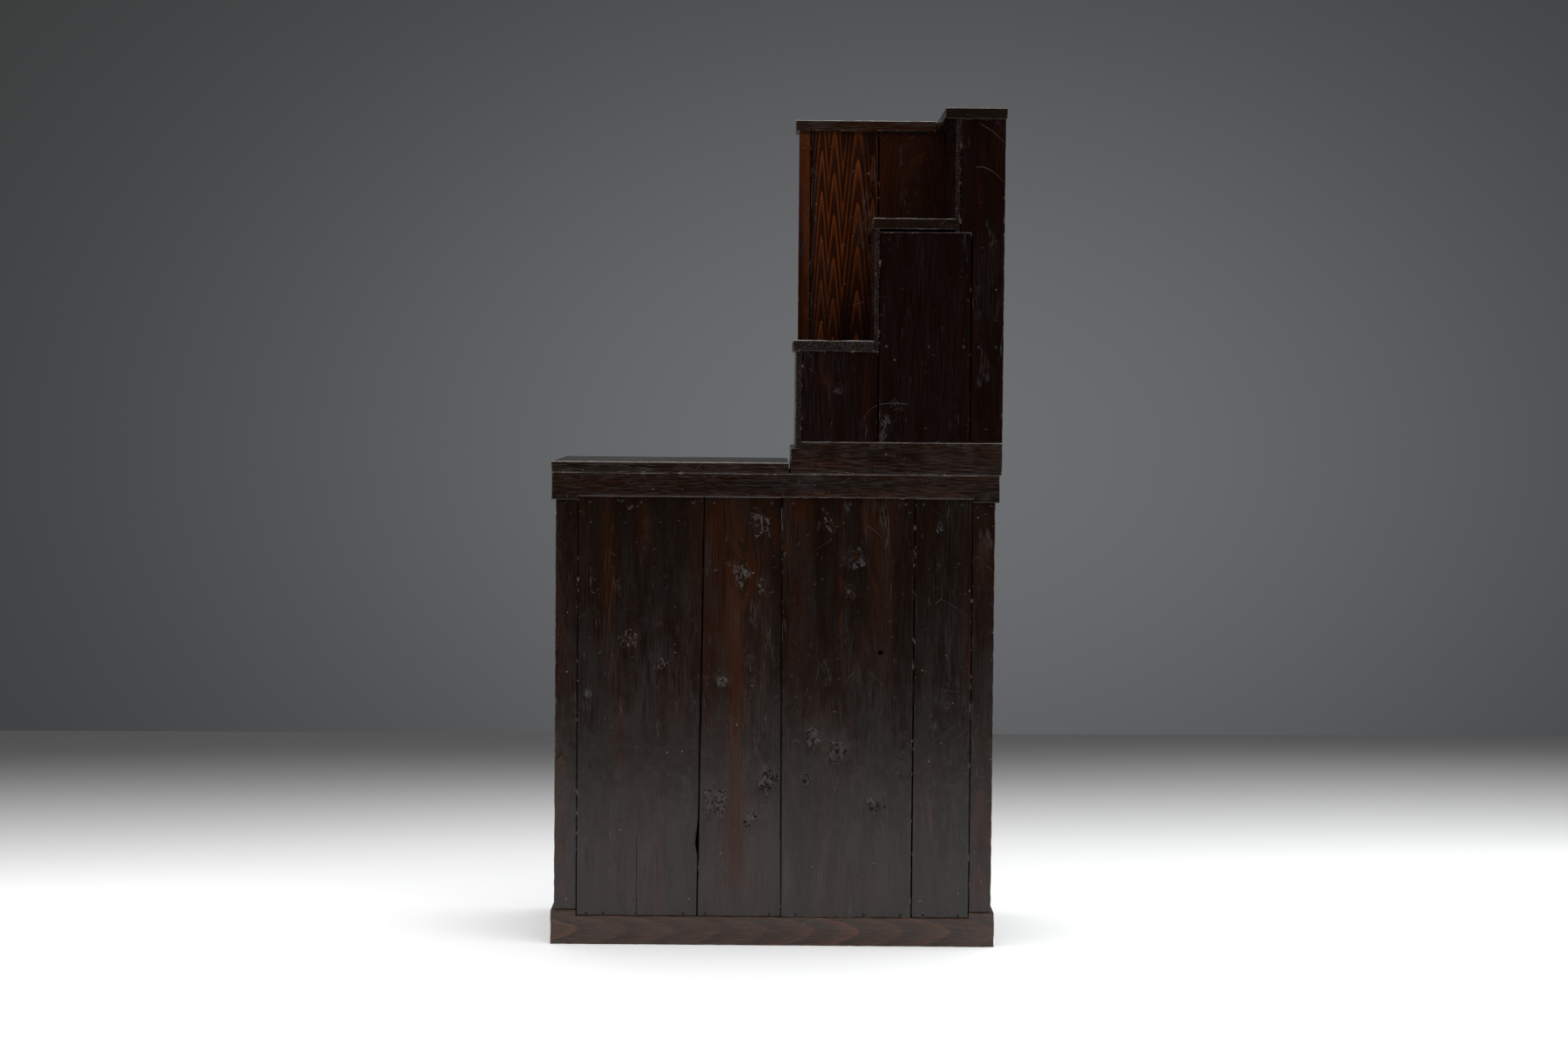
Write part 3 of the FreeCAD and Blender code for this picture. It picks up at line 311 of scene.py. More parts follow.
class Graph:
    """The nodes of one material, laid by short calls."""

    def __init__(self, tree):
        self.tree = tree
        tree.nodes.clear()

    def feed(self, socket, value):
        if isinstance(value, bpy.types.NodeSocket):
            self.tree.links.new(value, socket)
        else:
            socket.default_value = value

    def add(self, kind, inputs=None, **settings):
        node = self.tree.nodes.new(kind)
        for name, value in settings.items():
            setattr(node, name, value)
        for name, value in (inputs or {}).items():
            self.feed(node.inputs[name], value)
        return node

    def math(self, operation, *values):
        return self.add("ShaderNodeMath", dict(enumerate(values)), operation=operation).outputs[0]

    def times(self, first, second):
        return self.math("MULTIPLY", first, second)

    def times_plus(self, first, second, third):
        """The product of the first two, plus the third."""
        return self.math("MULTIPLY_ADD", first, second, third)

    def most(self, first, second):
        return self.math("MAXIMUM", first, second)

    def vector(self, operation, *values):
        return self.add("ShaderNodeVectorMath", dict(enumerate(values)), operation=operation).outputs[0]

    def split(self, value):
        """The three parts of a vector."""
        return self.add("ShaderNodeSeparateXYZ", {0: value}).outputs

    def attribute(self, name, output="Vector"):
        return self.add("ShaderNodeAttribute", attribute_name=name).outputs[output]

    def noise(self, place, scale, detail=2.0, distortion=0.0):
        """Noise with a scale of its own along each axis."""
        stretched = self.vector("MULTIPLY", place, scale)
        node = self.add("ShaderNodeTexNoise", {"Vector": stretched, "Scale": 1.0, "Detail": detail,
                                               "Distortion": distortion})
        return node.outputs[0]

    def ramp(self, value, start, end):
        """Nought at the start, one at the end, and smooth between."""
        inputs = {"Value": value, "From Min": start, "From Max": end}
        return self.add("ShaderNodeMapRange", inputs, interpolation_type="SMOOTHSTEP").outputs[0]

    def mask(self, place, look):
        """Nought to one over the patches of noise that a mask names."""
        return self.ramp(self.noise(place, look.scale, look.detail), look.start, look.end)

    def share(self, value, levels, part):
        """That part of what comes in between two levels."""
        return self.times(self.ramp(value, *levels), part)

    def blend(self, factor, first, second):
        node = self.add("ShaderNodeMix", data_type="RGBA")
        for index, value in ((0, factor), (6, first), (7, second)):
            self.feed(node.inputs[index], value)
        return node.outputs[2]


def solid(colour, gain=1.0):
    return (colour[0] * gain, colour[1] * gain, colour[2] * gain, 1.0)


def new_material(name):
    """An empty material and its graph."""
    material = bpy.data.materials.new(name)
    material.use_nodes = True
    return material, Graph(material.node_tree)


def seen_rays(graph):
    """One for what the camera sees, in reflections and through glass too, and nought for what lights."""
    path = graph.add("ShaderNodeLightPath").outputs
    return graph.most(graph.most(path["Is Camera Ray"], path["Is Glossy Ray"]), path["Is Transmission Ray"])


def edge_distance(graph):
    """How far a point of a board's surface lies from the board's nearest edge."""
    place = graph.attribute("board_place")
    rest = graph.vector("SUBTRACT", graph.attribute("board_size"), place)
    nearest = graph.split(graph.vector("MINIMUM", place, rest))
    lesser = graph.math("MINIMUM", nearest[0], nearest[1])
    greater = graph.most(nearest[0], nearest[1])
    return graph.most(lesser, graph.math("MINIMUM", greater, nearest[2]))


# How far the rings sway and tremble, where in a ring its band may start and where it closes, and the
# finer lines within it
RING_SWAY, RING_TREMOR, TREMOR_SHARE = (26, 20, 1.6), (150, 120, 9), 0.10
BAND_SPREAD, BAND_FULL, BAND_CLOSES = 0.4, 0.94, 0.96
FINE_LINES, FINE_LINE_FULL, FINE_LINE_DEPTH, FAINTEST_RING = 3.0, 0.8, 0.35, 0.4


def growth_rings(graph, timber, spacing, waver, band):
    """A band that swells over each growth ring and ends sharply with it."""
    sway = graph.noise(timber, RING_SWAY, 2.0)
    tremor = graph.noise(timber, RING_TREMOR, 1.0)
    warped = graph.times_plus(sway, waver, graph.attribute("ring", "Fac"))
    warped = graph.times_plus(tremor, waver * TREMOR_SHARE, warped)
    count = graph.math("DIVIDE", warped, spacing)
    saw = graph.math("FRACT", count)
    own = graph.add("ShaderNodeTexWhiteNoise", {"W": graph.math("FLOOR", count)}, noise_dimensions="1D").outputs[0]
    start = graph.times_plus(own, BAND_SPREAD, band - BAND_SPREAD / 2)
    ring = graph.times(graph.ramp(saw, start, BAND_FULL), graph.ramp(saw, 1.0, BAND_CLOSES))
    fine = graph.ramp(graph.math("FRACT", graph.times(count, FINE_LINES)), 0.0, FINE_LINE_FULL)
    ring = graph.times(ring, graph.times_plus(fine, FINE_LINE_DEPTH, 1 - FINE_LINE_DEPTH))
    return graph.times(ring, graph.times_plus(own, 1 - FAINTEST_RING, FAINTEST_RING))


# Patches of noise: the scale along each axis, the detail, and the levels between which they come in
Mask = namedtuple("Mask", "scale detail start end")
LONG_STRETCHES = Mask((9, 9, 7), 2.0, 0.57, 0.63)
SHORT_STRETCHES = Mask((75, 75, 60), 1.0, 0.60, 0.66)
RIDGE_STRETCHES = Mask((140, 140, 90), 3.0, 0.45, 0.53)
BRUSHED = Mask((720, 720, 30), 2.0, 0.54, 0.62)
BRUSHED_PATCHES = Mask((34, 34, 9), 2.0, 0.63, 0.70)
GRAIN_ZONES = Mask((7, 7, 3), 2.0, 0.42, 0.62)
GRAIN_STROKES = Mask((520, 520, 3.5), 1.0, 0.46, 0.64)
DRY_WOOD = Mask((420, 420, 26), 3.0, 0.44, 0.66)
HEARTS = Mask((70, 70, 45), 1.0, 0.48, 0.56)
CHIPS = Mask((80, 80, 60), 3.0, 0.60, 0.63)

# Lines along the contours of noise: its scale, detail and distortion, how many, and their half widths
Lines = namedtuple("Lines", "scale detail distortion count outer inner")
LONG_SCRATCHES = Lines((4, 4, 4), 0.0, 0.0, 6, 0.006, 0.002)
SHORT_SCRATCH_GLINTS = Lines((15, 15, 11), 0.0, 0.0, 7, 0.030, 0.010)
TORN_RIDGES = Lines((26, 26, 15), 1.0, 0.6, 5, 0.070, 0.030)

# Small pale spots, partly dust and partly painted glints: how close they lie, which of the cells have one, and how
# large they get
SPECK_SCALE, SPECK_CHANCE, SPECK_REACH = 58.0, (0.76, 1.0), 0.085


def contours(graph, place, lines):
    """Thin lines along the contours of noise."""
    value = graph.noise(place, lines.scale, lines.detail, lines.distortion)
    step = graph.math("FRACT", graph.times(value, lines.count))
    return graph.ramp(graph.math("ABSOLUTE", graph.math("SUBTRACT", step, 0.5)), lines.outer, lines.inner)


def scratches(graph, place):
    """Fine curved scratches, each a short stretch of a contour line; the short ones are partly painted glints."""
    thin = graph.times(contours(graph, place, LONG_SCRATCHES), graph.mask(place, LONG_STRETCHES))
    short = graph.times(contours(graph, place, SHORT_SCRATCH_GLINTS), graph.mask(place, SHORT_STRETCHES))
    return graph.most(thin, short)


def specks(graph, place):
    """A few small pale spots, scattered and uneven in size: partly dust, partly painted glints."""
    cells = graph.add("ShaderNodeTexVoronoi", {"Vector": place, "Scale": SPECK_SCALE}).outputs
    chance = graph.add("ShaderNodeSeparateColor", {0: cells["Color"]}).outputs
    reach = graph.share(chance[0], SPECK_CHANCE, SPECK_REACH)
    return graph.math("LESS_THAN", cells["Distance"], reach)


# What a lacquer looks like: the colour where it is thick and where it is thin, how strongly the rings show, the
# noise levels between which it thins, its roughness, its wear along edges, how far the rings stray, how dry and
# dusty its surface is and how strongly its painted glints show, from where in each ring it shines, how strongly fine
# pale lines of grain show on it, and how fully the thin colour covers the rings where it is strongest
Lacquer = namedtuple("Lacquer", "ground glow rings thick thin gloss wear waver dust band strokes flush")

LACQUERS = {
    "plank_lacquer": Lacquer("lacquer", "glow", 0.75, 0.50, 0.84, 0.14, 0.70, 0.010, 1.0, 0.15, 0.11, 0.8),
    "panel_lacquer": Lacquer("ember", "crimson", 0.85, 0.54, 0.90, 0.14, 0.50, 0.010, 0.70, 0.15, 0.125, 0.6),
    "rail_lacquer": Lacquer("lacquer", "glow", 0.70, 0.44, 0.84, 0.16, 0.70, 0.003, 1.0, 0.15, 0.08, 0.6),
    "base_lacquer": Lacquer("lacquer", "russet", 0.80, 0.22, 0.62, 0.16, 0.70, 0.003, 1.0, 0.15, 0.08, 0.2),
    "high_step_lacquer": Lacquer("lacquer", "glow", 0.60, 0.52, 0.90, 0.16, 0.32, 0.004, 0.7, 0.15, 0.06, 0.0),
    "step_lacquer": Lacquer("lacquer", "glow", 0.60, 0.52, 0.90, 0.16, 0.80, 0.004, 1.0, 0.15, 0.15, 0.0),
    "front_lacquer": Lacquer("lacquer", "glow", 0.80, 0.40, 0.66, 0.13, 0.60, 0.010, 0.4, 0.15, 0.04, 0.0),
    "flame_lacquer": Lacquer("ember", "amber", 0.92, 0.30, 0.78, 0.16, 0.25, 0.003, 0.7, 0.48, 0.02, 0.0),
    "amber_lacquer": Lacquer("ember", "amber", 0.25, 0.30, 1.25, 0.16, 0.25, 0.006, 0.6, 0.15, 0.02, 0.0),
    "dark_wall_lacquer": Lacquer("ember", "glow", 0.60, 0.28, 0.80, 0.15, 0.25, 0.010, 0.6, 0.15, 0.04, 0.0),
    "bare_cedar": Lacquer("cedar_late", "cedar", 0.70, 0.05, 0.45, 0.55, 0.0, 0.010, 0.3, 0.15, 0.05, 0.0),
}


# The torn slivers round knots: their sway, shape and scale, the raggedness of the patch and the levels between which
# it comes in, which of them are pale and how pale, partly with dust and partly with painted glints, and how steep
# they stand
SLIVER_SWAY_SCALE, SLIVER_SWAY, SLIVER_SHAPE, SLIVER_SCALE = 34.0, 0.034, (1.0, 1.0, 0.36), 190.0
RAGGED_SCALE, RAGGED_GAIN, RAGGED = (52, 52, 36), 2.0, (1.38, 1.75)
PALE_GLINT, PALE_GLINT_SHARE, SLIVER_SLOPE = (0.76, 0.86), 0.55, 300.0


def torn_facets(graph, place, burr):
    """Slivers that the plane tore out round the knots: how far they stand out, which are pale, partly with dust and
    partly with painted glints, and where.
    """
    sway = graph.add("ShaderNodeTexNoise", {"Vector": place, "Scale": SLIVER_SWAY_SCALE, "Detail": 2.0}).outputs[1]
    bent = graph.vector("MULTIPLY_ADD", sway, (SLIVER_SWAY,) * 3, place)
    slivers = graph.vector("MULTIPLY", bent, SLIVER_SHAPE)
    cells = graph.add("ShaderNodeTexVoronoi", {"Vector": slivers, "Scale": SLIVER_SCALE}).outputs
    away = graph.vector("SUBTRACT", slivers, cells["Position"])
    tilt = graph.vector("SUBTRACT", cells["Color"], (0.5, 0.5, 0.5))
    slope = graph.add("ShaderNodeVectorMath", {0: away, 1: tilt}, operation="DOT_PRODUCT").outputs[1]
    ragged = graph.times_plus(graph.noise(place, RAGGED_SCALE, 3.0), RAGGED_GAIN, burr)
    ragged = graph.ramp(ragged, *RAGGED)
    chance = graph.add("ShaderNodeSeparateColor", {0: cells["Color"]}).outputs
    # Pale slivers and ridges: partly dust, partly painted glints where tilted facets would catch the light
    pale_glint = graph.share(chance[0], PALE_GLINT, PALE_GLINT_SHARE)
    ridges = graph.times(contours(graph, place, TORN_RIDGES), graph.mask(place, RIDGE_STRETCHES))
    pale_glint = graph.times(graph.most(pale_glint, ridges), ragged)
    return graph.times(slope, graph.times(ragged, SLIVER_SLOPE)), pale_glint, ragged


# How strongly the brushed patches show, how much of the grain strokes shows outside their zones, and
# how strongly dry wood shows where it is scuffed
BRUSHED_SHARE, STROKES_OUTSIDE, DRY_SHARE = 0.60, 0.25, 0.7


def dusty(graph, timber, scuff, strokes):
    """How much pale, dry surface shows: brushed strokes in patches, and dry wood where it is scuffed."""
    patches = graph.times(graph.mask(timber, BRUSHED_PATCHES), BRUSHED_SHARE)
    zones = graph.times_plus(graph.mask(timber, GRAIN_ZONES), 1 - STROKES_OUTSIDE, STROKES_OUTSIDE)
    lines = graph.times(graph.mask(timber, GRAIN_STROKES), strokes)
    brushed = graph.math("ADD", graph.times(graph.mask(timber, BRUSHED), patches), graph.times(lines, zones))
    total = graph.times_plus(graph.times(graph.mask(timber, DRY_WOOD), scuff), DRY_SHARE, brushed)
    return graph.math("MINIMUM", total, 1.0)


# Fibres, patches of thin lacquer, how far a board's own tone shifts them, and where they cover the rings
FIBRE_SCALE, FIBRE_SHOWS, FIBRE_SHARE, FIBRE_DARK = (420, 420, 9), (0.40, 0.62), 0.30, 0.5
PATCH_SCALE, TONE_REACH, STRONG_GLOW, STRONG_SHARE, STRONG_GAIN = (17, 13, 1.5), 0.22, (0.75, 1.10), 0.4, 1.25
# Knots: the darker torn wood, and the red of their hearts
TORN_SHARE, TORN_DARK, HEART_SHOWS, HEART_SHARE, HEART_GAIN = 0.35, 0.8, (0.45, 0.80), 0.25, 1.1
# Dust: on level faces, in scratches and in all, and how much paler spots and upper edges are; the short scratches
# and the spots are partly painted glints, and the upper edges partly a painted highlight over their wear
LEVEL_FACES, SETTLED_SHARE, SCORE_GLINT_SHARE, DUST_HIGHLIGHT_SHARE = (0.80, 0.97), 0.22, 0.3, 0.6
SPOT_SHARE, SPOT_GAIN, HIGHLIGHT_GAIN = 1.6, 2.0, 2.6
# Edges: two noises that make them uneven, and how far from the arris each wear, and the painted highlight on the
# upper edges, begins and is whole
EDGE_SWAY_SCALE, EDGE_SWAY, EDGE_CRUMBLE_SCALE, EDGE_CRUMBLE = (90, 90, 90), 0.0042, (330, 330, 330), 0.0022
RUBBED_EDGE, RUBBED_SHARE, RUBBED_GAIN = (0.0090, 0.0025), 0.22, 1.3
BARE_EDGE, CHIPPED_EDGE = (0.0038, 0.0030), (0.0060, 0.0050)
HIGHLIGHT_EDGE, HIGHLIGHT_FACING, HIGHLIGHT_SHARE = (0.0058, 0.0044), (0.20, 0.60), 1.4
# Joints: where they show and how dark they are; then the scuffing that goes through the lacquer, which shows partly
# as wear and partly as a painted highlight
JOINT_SHOWS, JOINT_DARK, SCUFFED_HIGHLIGHT = (0.04, 0.30), 0.2, (0.92, 1.0)
# Shine: the reflections and what thin lacquer and joints take from them, and what makes it rougher
LACQUER_IOR, FULL_SHINE, SHINE_LOST_THIN, SHINE_LOST_JOINT = 1.48, 0.5, 0.17, 0.48
SHEEN_SCALE, SHEEN_FIBRE, SHEEN_SHOWS = (30, 30, 5), 0.9, (0.65, 1.25)
SHEEN_RANGE, SHEEN_LOW, DUST_ROUGH = 0.16, 0.03, 0.25
# Relief, in millimetres: rings, fibres, swells, grit and scratches
RINGS_HIGH, FIBRES_HIGH, SWELLS_HIGH, GRIT_HIGH, SCRATCH_DEEP = 0.10, 0.07, 0.5, 0.06, 0.2
SWELL_SCALE, GRIT_SCALE, RELIEF_UNIT = (42, 42, 20), (210, 210, 130), 0.001


def wood(name):
    """Lacquered softwood: thick and thin lacquer over growth rings, worn along every edge."""
    scene = bpy.context.scene
    finish, boards, look = scene.chest_finish, scene.chest_boards, LACQUERS[name]
    ground, glow = getattr(finish, look.ground), getattr(finish, look.glow)
    material, graph = new_material(name)
    timber = graph.attribute("timber")
    burr = graph.attribute("burr", "Fac")
    scuff = graph.attribute("scuff", "Fac")
    place = graph.add("ShaderNodeTexCoord").outputs["Object"]
    # Lacquer over the rings and fibres
    rings = growth_rings(graph, timber, boards.ring_spacing, look.waver, look.band)
    fibre = graph.noise(timber, FIBRE_SCALE, 2.0)
    patch = graph.times_plus(graph.attribute("board_tone", "Fac"), TONE_REACH, graph.noise(timber, PATCH_SCALE, 3.0))
    thin = graph.ramp(patch, look.thick, look.thin)
    strong = graph.share(patch, STRONG_GLOW, look.flush)
    shown = graph.most(graph.times_plus(rings, look.rings, 1.0 - look.rings), strong)
    colour = graph.blend(graph.times(thin, shown), solid(ground), solid(glow))
    colour = graph.blend(graph.times(strong, STRONG_SHARE), colour, solid(glow, STRONG_GAIN))
    dark = graph.share(fibre, FIBRE_SHOWS, FIBRE_SHARE)
    colour = graph.blend(dark, colour, solid(ground, FIBRE_DARK))
    # Knots
    slope, pale_glint, torn = torn_facets(graph, place, burr)
    heart = graph.share(burr, HEART_SHOWS, graph.mask(place, HEARTS))
    colour = graph.blend(graph.times(torn, TORN_SHARE), colour, solid(ground, TORN_DARK))
    colour = graph.blend(graph.times(heart, HEART_SHARE), colour, solid(glow, HEART_GAIN))
    # Dust and spots
    # Scratches; in the colour the short ones are partly painted glints
    scored_and_glinting = scratches(graph, place)
    facing = graph.split(graph.add("ShaderNodeNewGeometry").outputs["True Normal"])[2]
    settled = graph.share(facing, LEVEL_FACES, SETTLED_SHARE)
    # Dust and painted glints together: dry and brushed surface, pale slivers, dust settled on level faces and
    # scratches
    dust = graph.most(graph.most(dusty(graph, timber, scuff, look.strokes), pale_glint), settled)
    dust = graph.times(graph.most(dust, graph.times(scored_and_glinting, SCORE_GLINT_SHARE)), look.dust)
    colour = graph.blend(graph.times(dust, DUST_HIGHLIGHT_SHARE), colour, solid(finish.dust))
    # Pale spots: partly dust, partly painted glints
    spots = graph.times(specks(graph, place), min(1.0, look.dust * SPOT_SHARE))
    colour = graph.blend(spots, colour, solid(finish.dust, SPOT_GAIN))
    # Worn edges and dark joints
    edge = graph.times_plus(graph.noise(place, EDGE_SWAY_SCALE, 2.0), EDGE_SWAY, edge_distance(graph))
    edge = graph.times_plus(graph.noise(place, EDGE_CRUMBLE_SCALE, 1.0), EDGE_CRUMBLE, edge)
    rubbed = graph.share(edge, RUBBED_EDGE, look.wear * RUBBED_SHARE)
    colour = graph.blend(rubbed, colour, solid(glow, RUBBED_GAIN))
    joint = graph.ramp(graph.attribute("joint", "Fac"), *JOINT_SHOWS)
    bare = graph.share(edge, BARE_EDGE, look.wear)
    bare = graph.times(bare, graph.math("SUBTRACT", 1.0, joint))
    colour = graph.blend(joint, colour, solid(ground, JOINT_DARK))
    chips = graph.times(graph.mask(place, CHIPS), graph.ramp(edge, *CHIPPED_EDGE))
    bare = graph.most(bare, graph.times(chips, look.wear))
    colour = graph.blend(bare, colour, solid(finish.worn))
    # Painted highlight, partly wear: arrises that face upwards, and scuffed-through places, are lightened as if
    # light from above caught them
    upper = graph.share(facing, HIGHLIGHT_FACING, graph.ramp(edge, *HIGHLIGHT_EDGE))
    upper = graph.math("MINIMUM", graph.times(upper, look.wear * HIGHLIGHT_SHARE), 1.0)
    upper = graph.most(upper, graph.ramp(scuff, *SCUFFED_HIGHLIGHT))
    colour = graph.blend(upper, colour, solid(finish.dust, HIGHLIGHT_GAIN))
    # Shine
    sheen = graph.times_plus(fibre, SHEEN_FIBRE, graph.noise(timber, SHEEN_SCALE, 3.0))
    roughness = graph.times_plus(graph.ramp(sheen, *SHEEN_SHOWS), SHEEN_RANGE, look.gloss - SHEEN_LOW)
    roughness = graph.times_plus(graph.most(dust, bare), DUST_ROUGH, roughness)
    shine = graph.times_plus(strong, -SHINE_LOST_THIN, FULL_SHINE)
    shine = graph.times_plus(joint, -SHINE_LOST_JOINT, graph.most(shine, graph.times(joint, FULL_SHINE)))
    # Relief
    height = graph.times_plus(rings, RINGS_HIGH, graph.times(fibre, FIBRES_HIGH))
    height = graph.times_plus(graph.noise(place, SWELL_SCALE, 2.0), SWELLS_HIGH, height)
    height = graph.times_plus(graph.noise(place, GRIT_SCALE, 3.0), GRIT_HIGH, height)
    height = graph.times_plus(scored_and_glinting, -SCRATCH_DEEP, graph.math("ADD", slope, height))
    bump = graph.add("ShaderNodeBump", {"Strength": 1.0, "Distance": RELIEF_UNIT, "Height": height})
    shader = graph.add("ShaderNodeBsdfPrincipled", {
        "Base Color": colour, "Roughness": roughness, "IOR": LACQUER_IOR, "Normal": bump.outputs[0],
        "Specular IOR Level": shine})
    graph.add("ShaderNodeOutputMaterial", {0: shader.outputs[0]})
    return material


# How brightly an iron shows, how bright it is where rubbed, how rough it is, and how metallic
Iron = namedtuple("Iron", "gain rubbed rough metal")

# Hammer marks and grit: their scales and relief, and how the iron is rubbed bright, rusty and rough
HAMMER_SCALE, HAMMER_HIGH, IRON_GRIT_SCALE, IRON_RELIEF = (260, 260, 260), 2.0, (1400, 1400, 1400), 0.0004
RUBBED_MARKS, RUBBED_IRON, RUST_SHOWS, RUST_SHARE = (0.50, 0.68), 0.6, (0.55, 0.75), 0.5
RUST, IRON_ROUGH, IRON_BUMP = (0.075, 0.030, 0.015), 0.30, 0.7

IRONS = {"forged_iron": Iron(1.2, 5.0, 0.30, 0.7), "nail_iron": Iron(0.35, 1.5, 0.55, 0.1)}


def forged_iron(name):
    """Blackened iron with hammer marks and a little rust in its hollows."""
    finish, look = bpy.context.scene.chest_finish, IRONS[name]
    material, graph = new_material(name)
    place = graph.add("ShaderNodeTexCoord").outputs["Object"]
    marks = graph.noise(place, HAMMER_SCALE, 2.0)
    grit = graph.noise(place, IRON_GRIT_SCALE, 3.0)
    rust = graph.share(grit, RUST_SHOWS, RUST_SHARE)
    colour = graph.blend(rust, solid(finish.iron, look.gain), solid(RUST, look.gain))
    rubbed = graph.share(marks, RUBBED_MARKS, RUBBED_IRON)
    colour = graph.blend(rubbed, colour, solid(finish.iron, look.gain * look.rubbed))
    roughness = graph.times_plus(grit, IRON_ROUGH, look.rough)
    height = graph.times_plus(marks, HAMMER_HIGH, grit)
    bump = graph.add("ShaderNodeBump", {"Strength": IRON_BUMP, "Distance": IRON_RELIEF, "Height": height})
    shader = graph.add("ShaderNodeBsdfPrincipled", {
        "Base Color": colour, "Roughness": roughness, "Metallic": look.metal, "Normal": bump.outputs[0]})
    graph.add("ShaderNodeOutputMaterial", {0: shader.outputs[0]})
    return material


def finish_named(name):
    """The material of that name, made when it is first asked for."""
    make = wood if name in LACQUERS else forged_iron
    return bpy.data.materials.get(name) or make(name)


def whole_faces(node):
    """A copy of a node's mesh with its loose triangles joined and its flat faces whole."""
    shape = bmesh.new()
    shape.from_mesh(frame["nodes"][node].data)
    bmesh.ops.remove_doubles(shape, verts=shape.verts, dist=WELD)
    bmesh.ops.dissolve_limit(shape, angle_limit=FLAT_ANGLE, verts=shape.verts, edges=shape.edges)
    return shape


def loose_parts(shape):
    """The separate boards of a shape, each as a shape of its own."""
    shape.verts.index_update()
    owner = [-1] * len(shape.verts)
    count = 0
    for start in shape.verts:
        if owner[start.index] >= 0:
            continue
        owner[start.index] = count
        front = [start]
        while front:
            vertex = front.pop()
            for edge in vertex.link_edges:
                other = edge.other_vert(vertex)
                if owner[other.index] < 0:
                    owner[other.index] = count
                    front.append(other)
        count += 1
    parts = []
    for number in range(count):
        part = shape.copy()
        part.verts.ensure_lookup_table()
        others = [vertex for vertex in part.verts if owner[vertex.index] != number]
        bmesh.ops.delete(part, geom=others, context="VERTS")
        parts.append(part)
    shape.free()
    return parts


def round_arrises(part, width):
    """Round every outer edge of a board."""
    edges = [edge for edge in part.edges
             if len(edge.link_faces) == 2 and edge.calc_face_angle_signed(0.0) > SHARP_ANGLE]
    bmesh.ops.bevel(part, geom=edges, offset=width, offset_type="OFFSET", segments=2, profile=0.5,
                    affect="EDGES", clamp_overlap=True)


def cut_at(part, axis, level):
    normal = Vector((0, 0, 0))
    normal[axis] = 1.0
    geometry = part.verts[:] + part.edges[:] + part.faces[:]
    bmesh.ops.bisect_plane(part, geom=geometry, dist=WELD, plane_co=normal * level, plane_no=normal)


def cut_cells(part, low, size, order, cell):
    """Divide a board into cells that are twice as long as they are wide."""
    for axis, step in ((order[1], cell), (order[2], cell * 2)):
        count = int(size[axis] / step)
        for number in range(1, count):
            cut_at(part, axis, low[axis] + size[axis] * number / count)


def burrs_of(node, low, size):
    """The middle and radius of each burr on a board, across it and up it."""
    return [(low[0] + size[0] * across_share, low[2] + size[2] * up_share, radius)
            for across_share, up_share, radius in BURRS.get(node, ())]


def around(points, places, wide, tall):
    """How near each point is to any of the places, from nought to one."""
    nearness = np.zeros(len(points))
    for across, up, radius in places:
        far = ((points[:, 0] - across) / (radius * wide)) ** 2 + ((points[:, 2] - up) / (radius * tall)) ** 2
        nearness = np.maximum(nearness, np.exp(-far))
    return nearness


def glow_at(node, points, low, size, own):
    """How far the wood glows through at each point of a board."""
    glow = np.full(len(points), own)
    for across_share, up_share, wide, tall in GLOWS.get(node, ()):
        across = (points[:, 0] - low[0] - size[0] * across_share) / wide
        up = (points[:, 2] - low[2] - size[2] * up_share) / tall
        glow += GLOW_GAIN * np.exp(-across ** 2 - up ** 2)
    return glow


def field(points, scale, shift):
    """Smooth noise at each point, with a scale along each axis."""
    stretched = points * np.array(scale) + shift
    return np.array([noise.noise(Vector(point)) for point in stretched])


def flame_rings(place, size):
    """Growth rings that come to a point at each column of flames."""
    columns = [np.hypot(place[:, 0] - size[0] * share, blunt) * close + lag for share, blunt, lag, close in FLAMES]
    return place[:, 2] * FLAME_RISE + np.minimum.reduce(columns) + 0.5


def flame_tone(place, size):
    """How brightly the flames burn: along their columns, and less towards the foot."""
    near = [np.exp(-((place[:, 0] - size[0] * share) / FLAME_REACH) ** 2) for share, *_ in FLAMES[:3]]
    upward = np.clip(place[:, 2] / size[2] * FLAME_CLIMB - FLAME_FOOT, -FLAME_FOOT, FLAME_FOOT)
    return FLAME_BRIGHT * np.maximum.reduce(near) - FLAME_BETWEEN + FLAME_UPWARD * upward


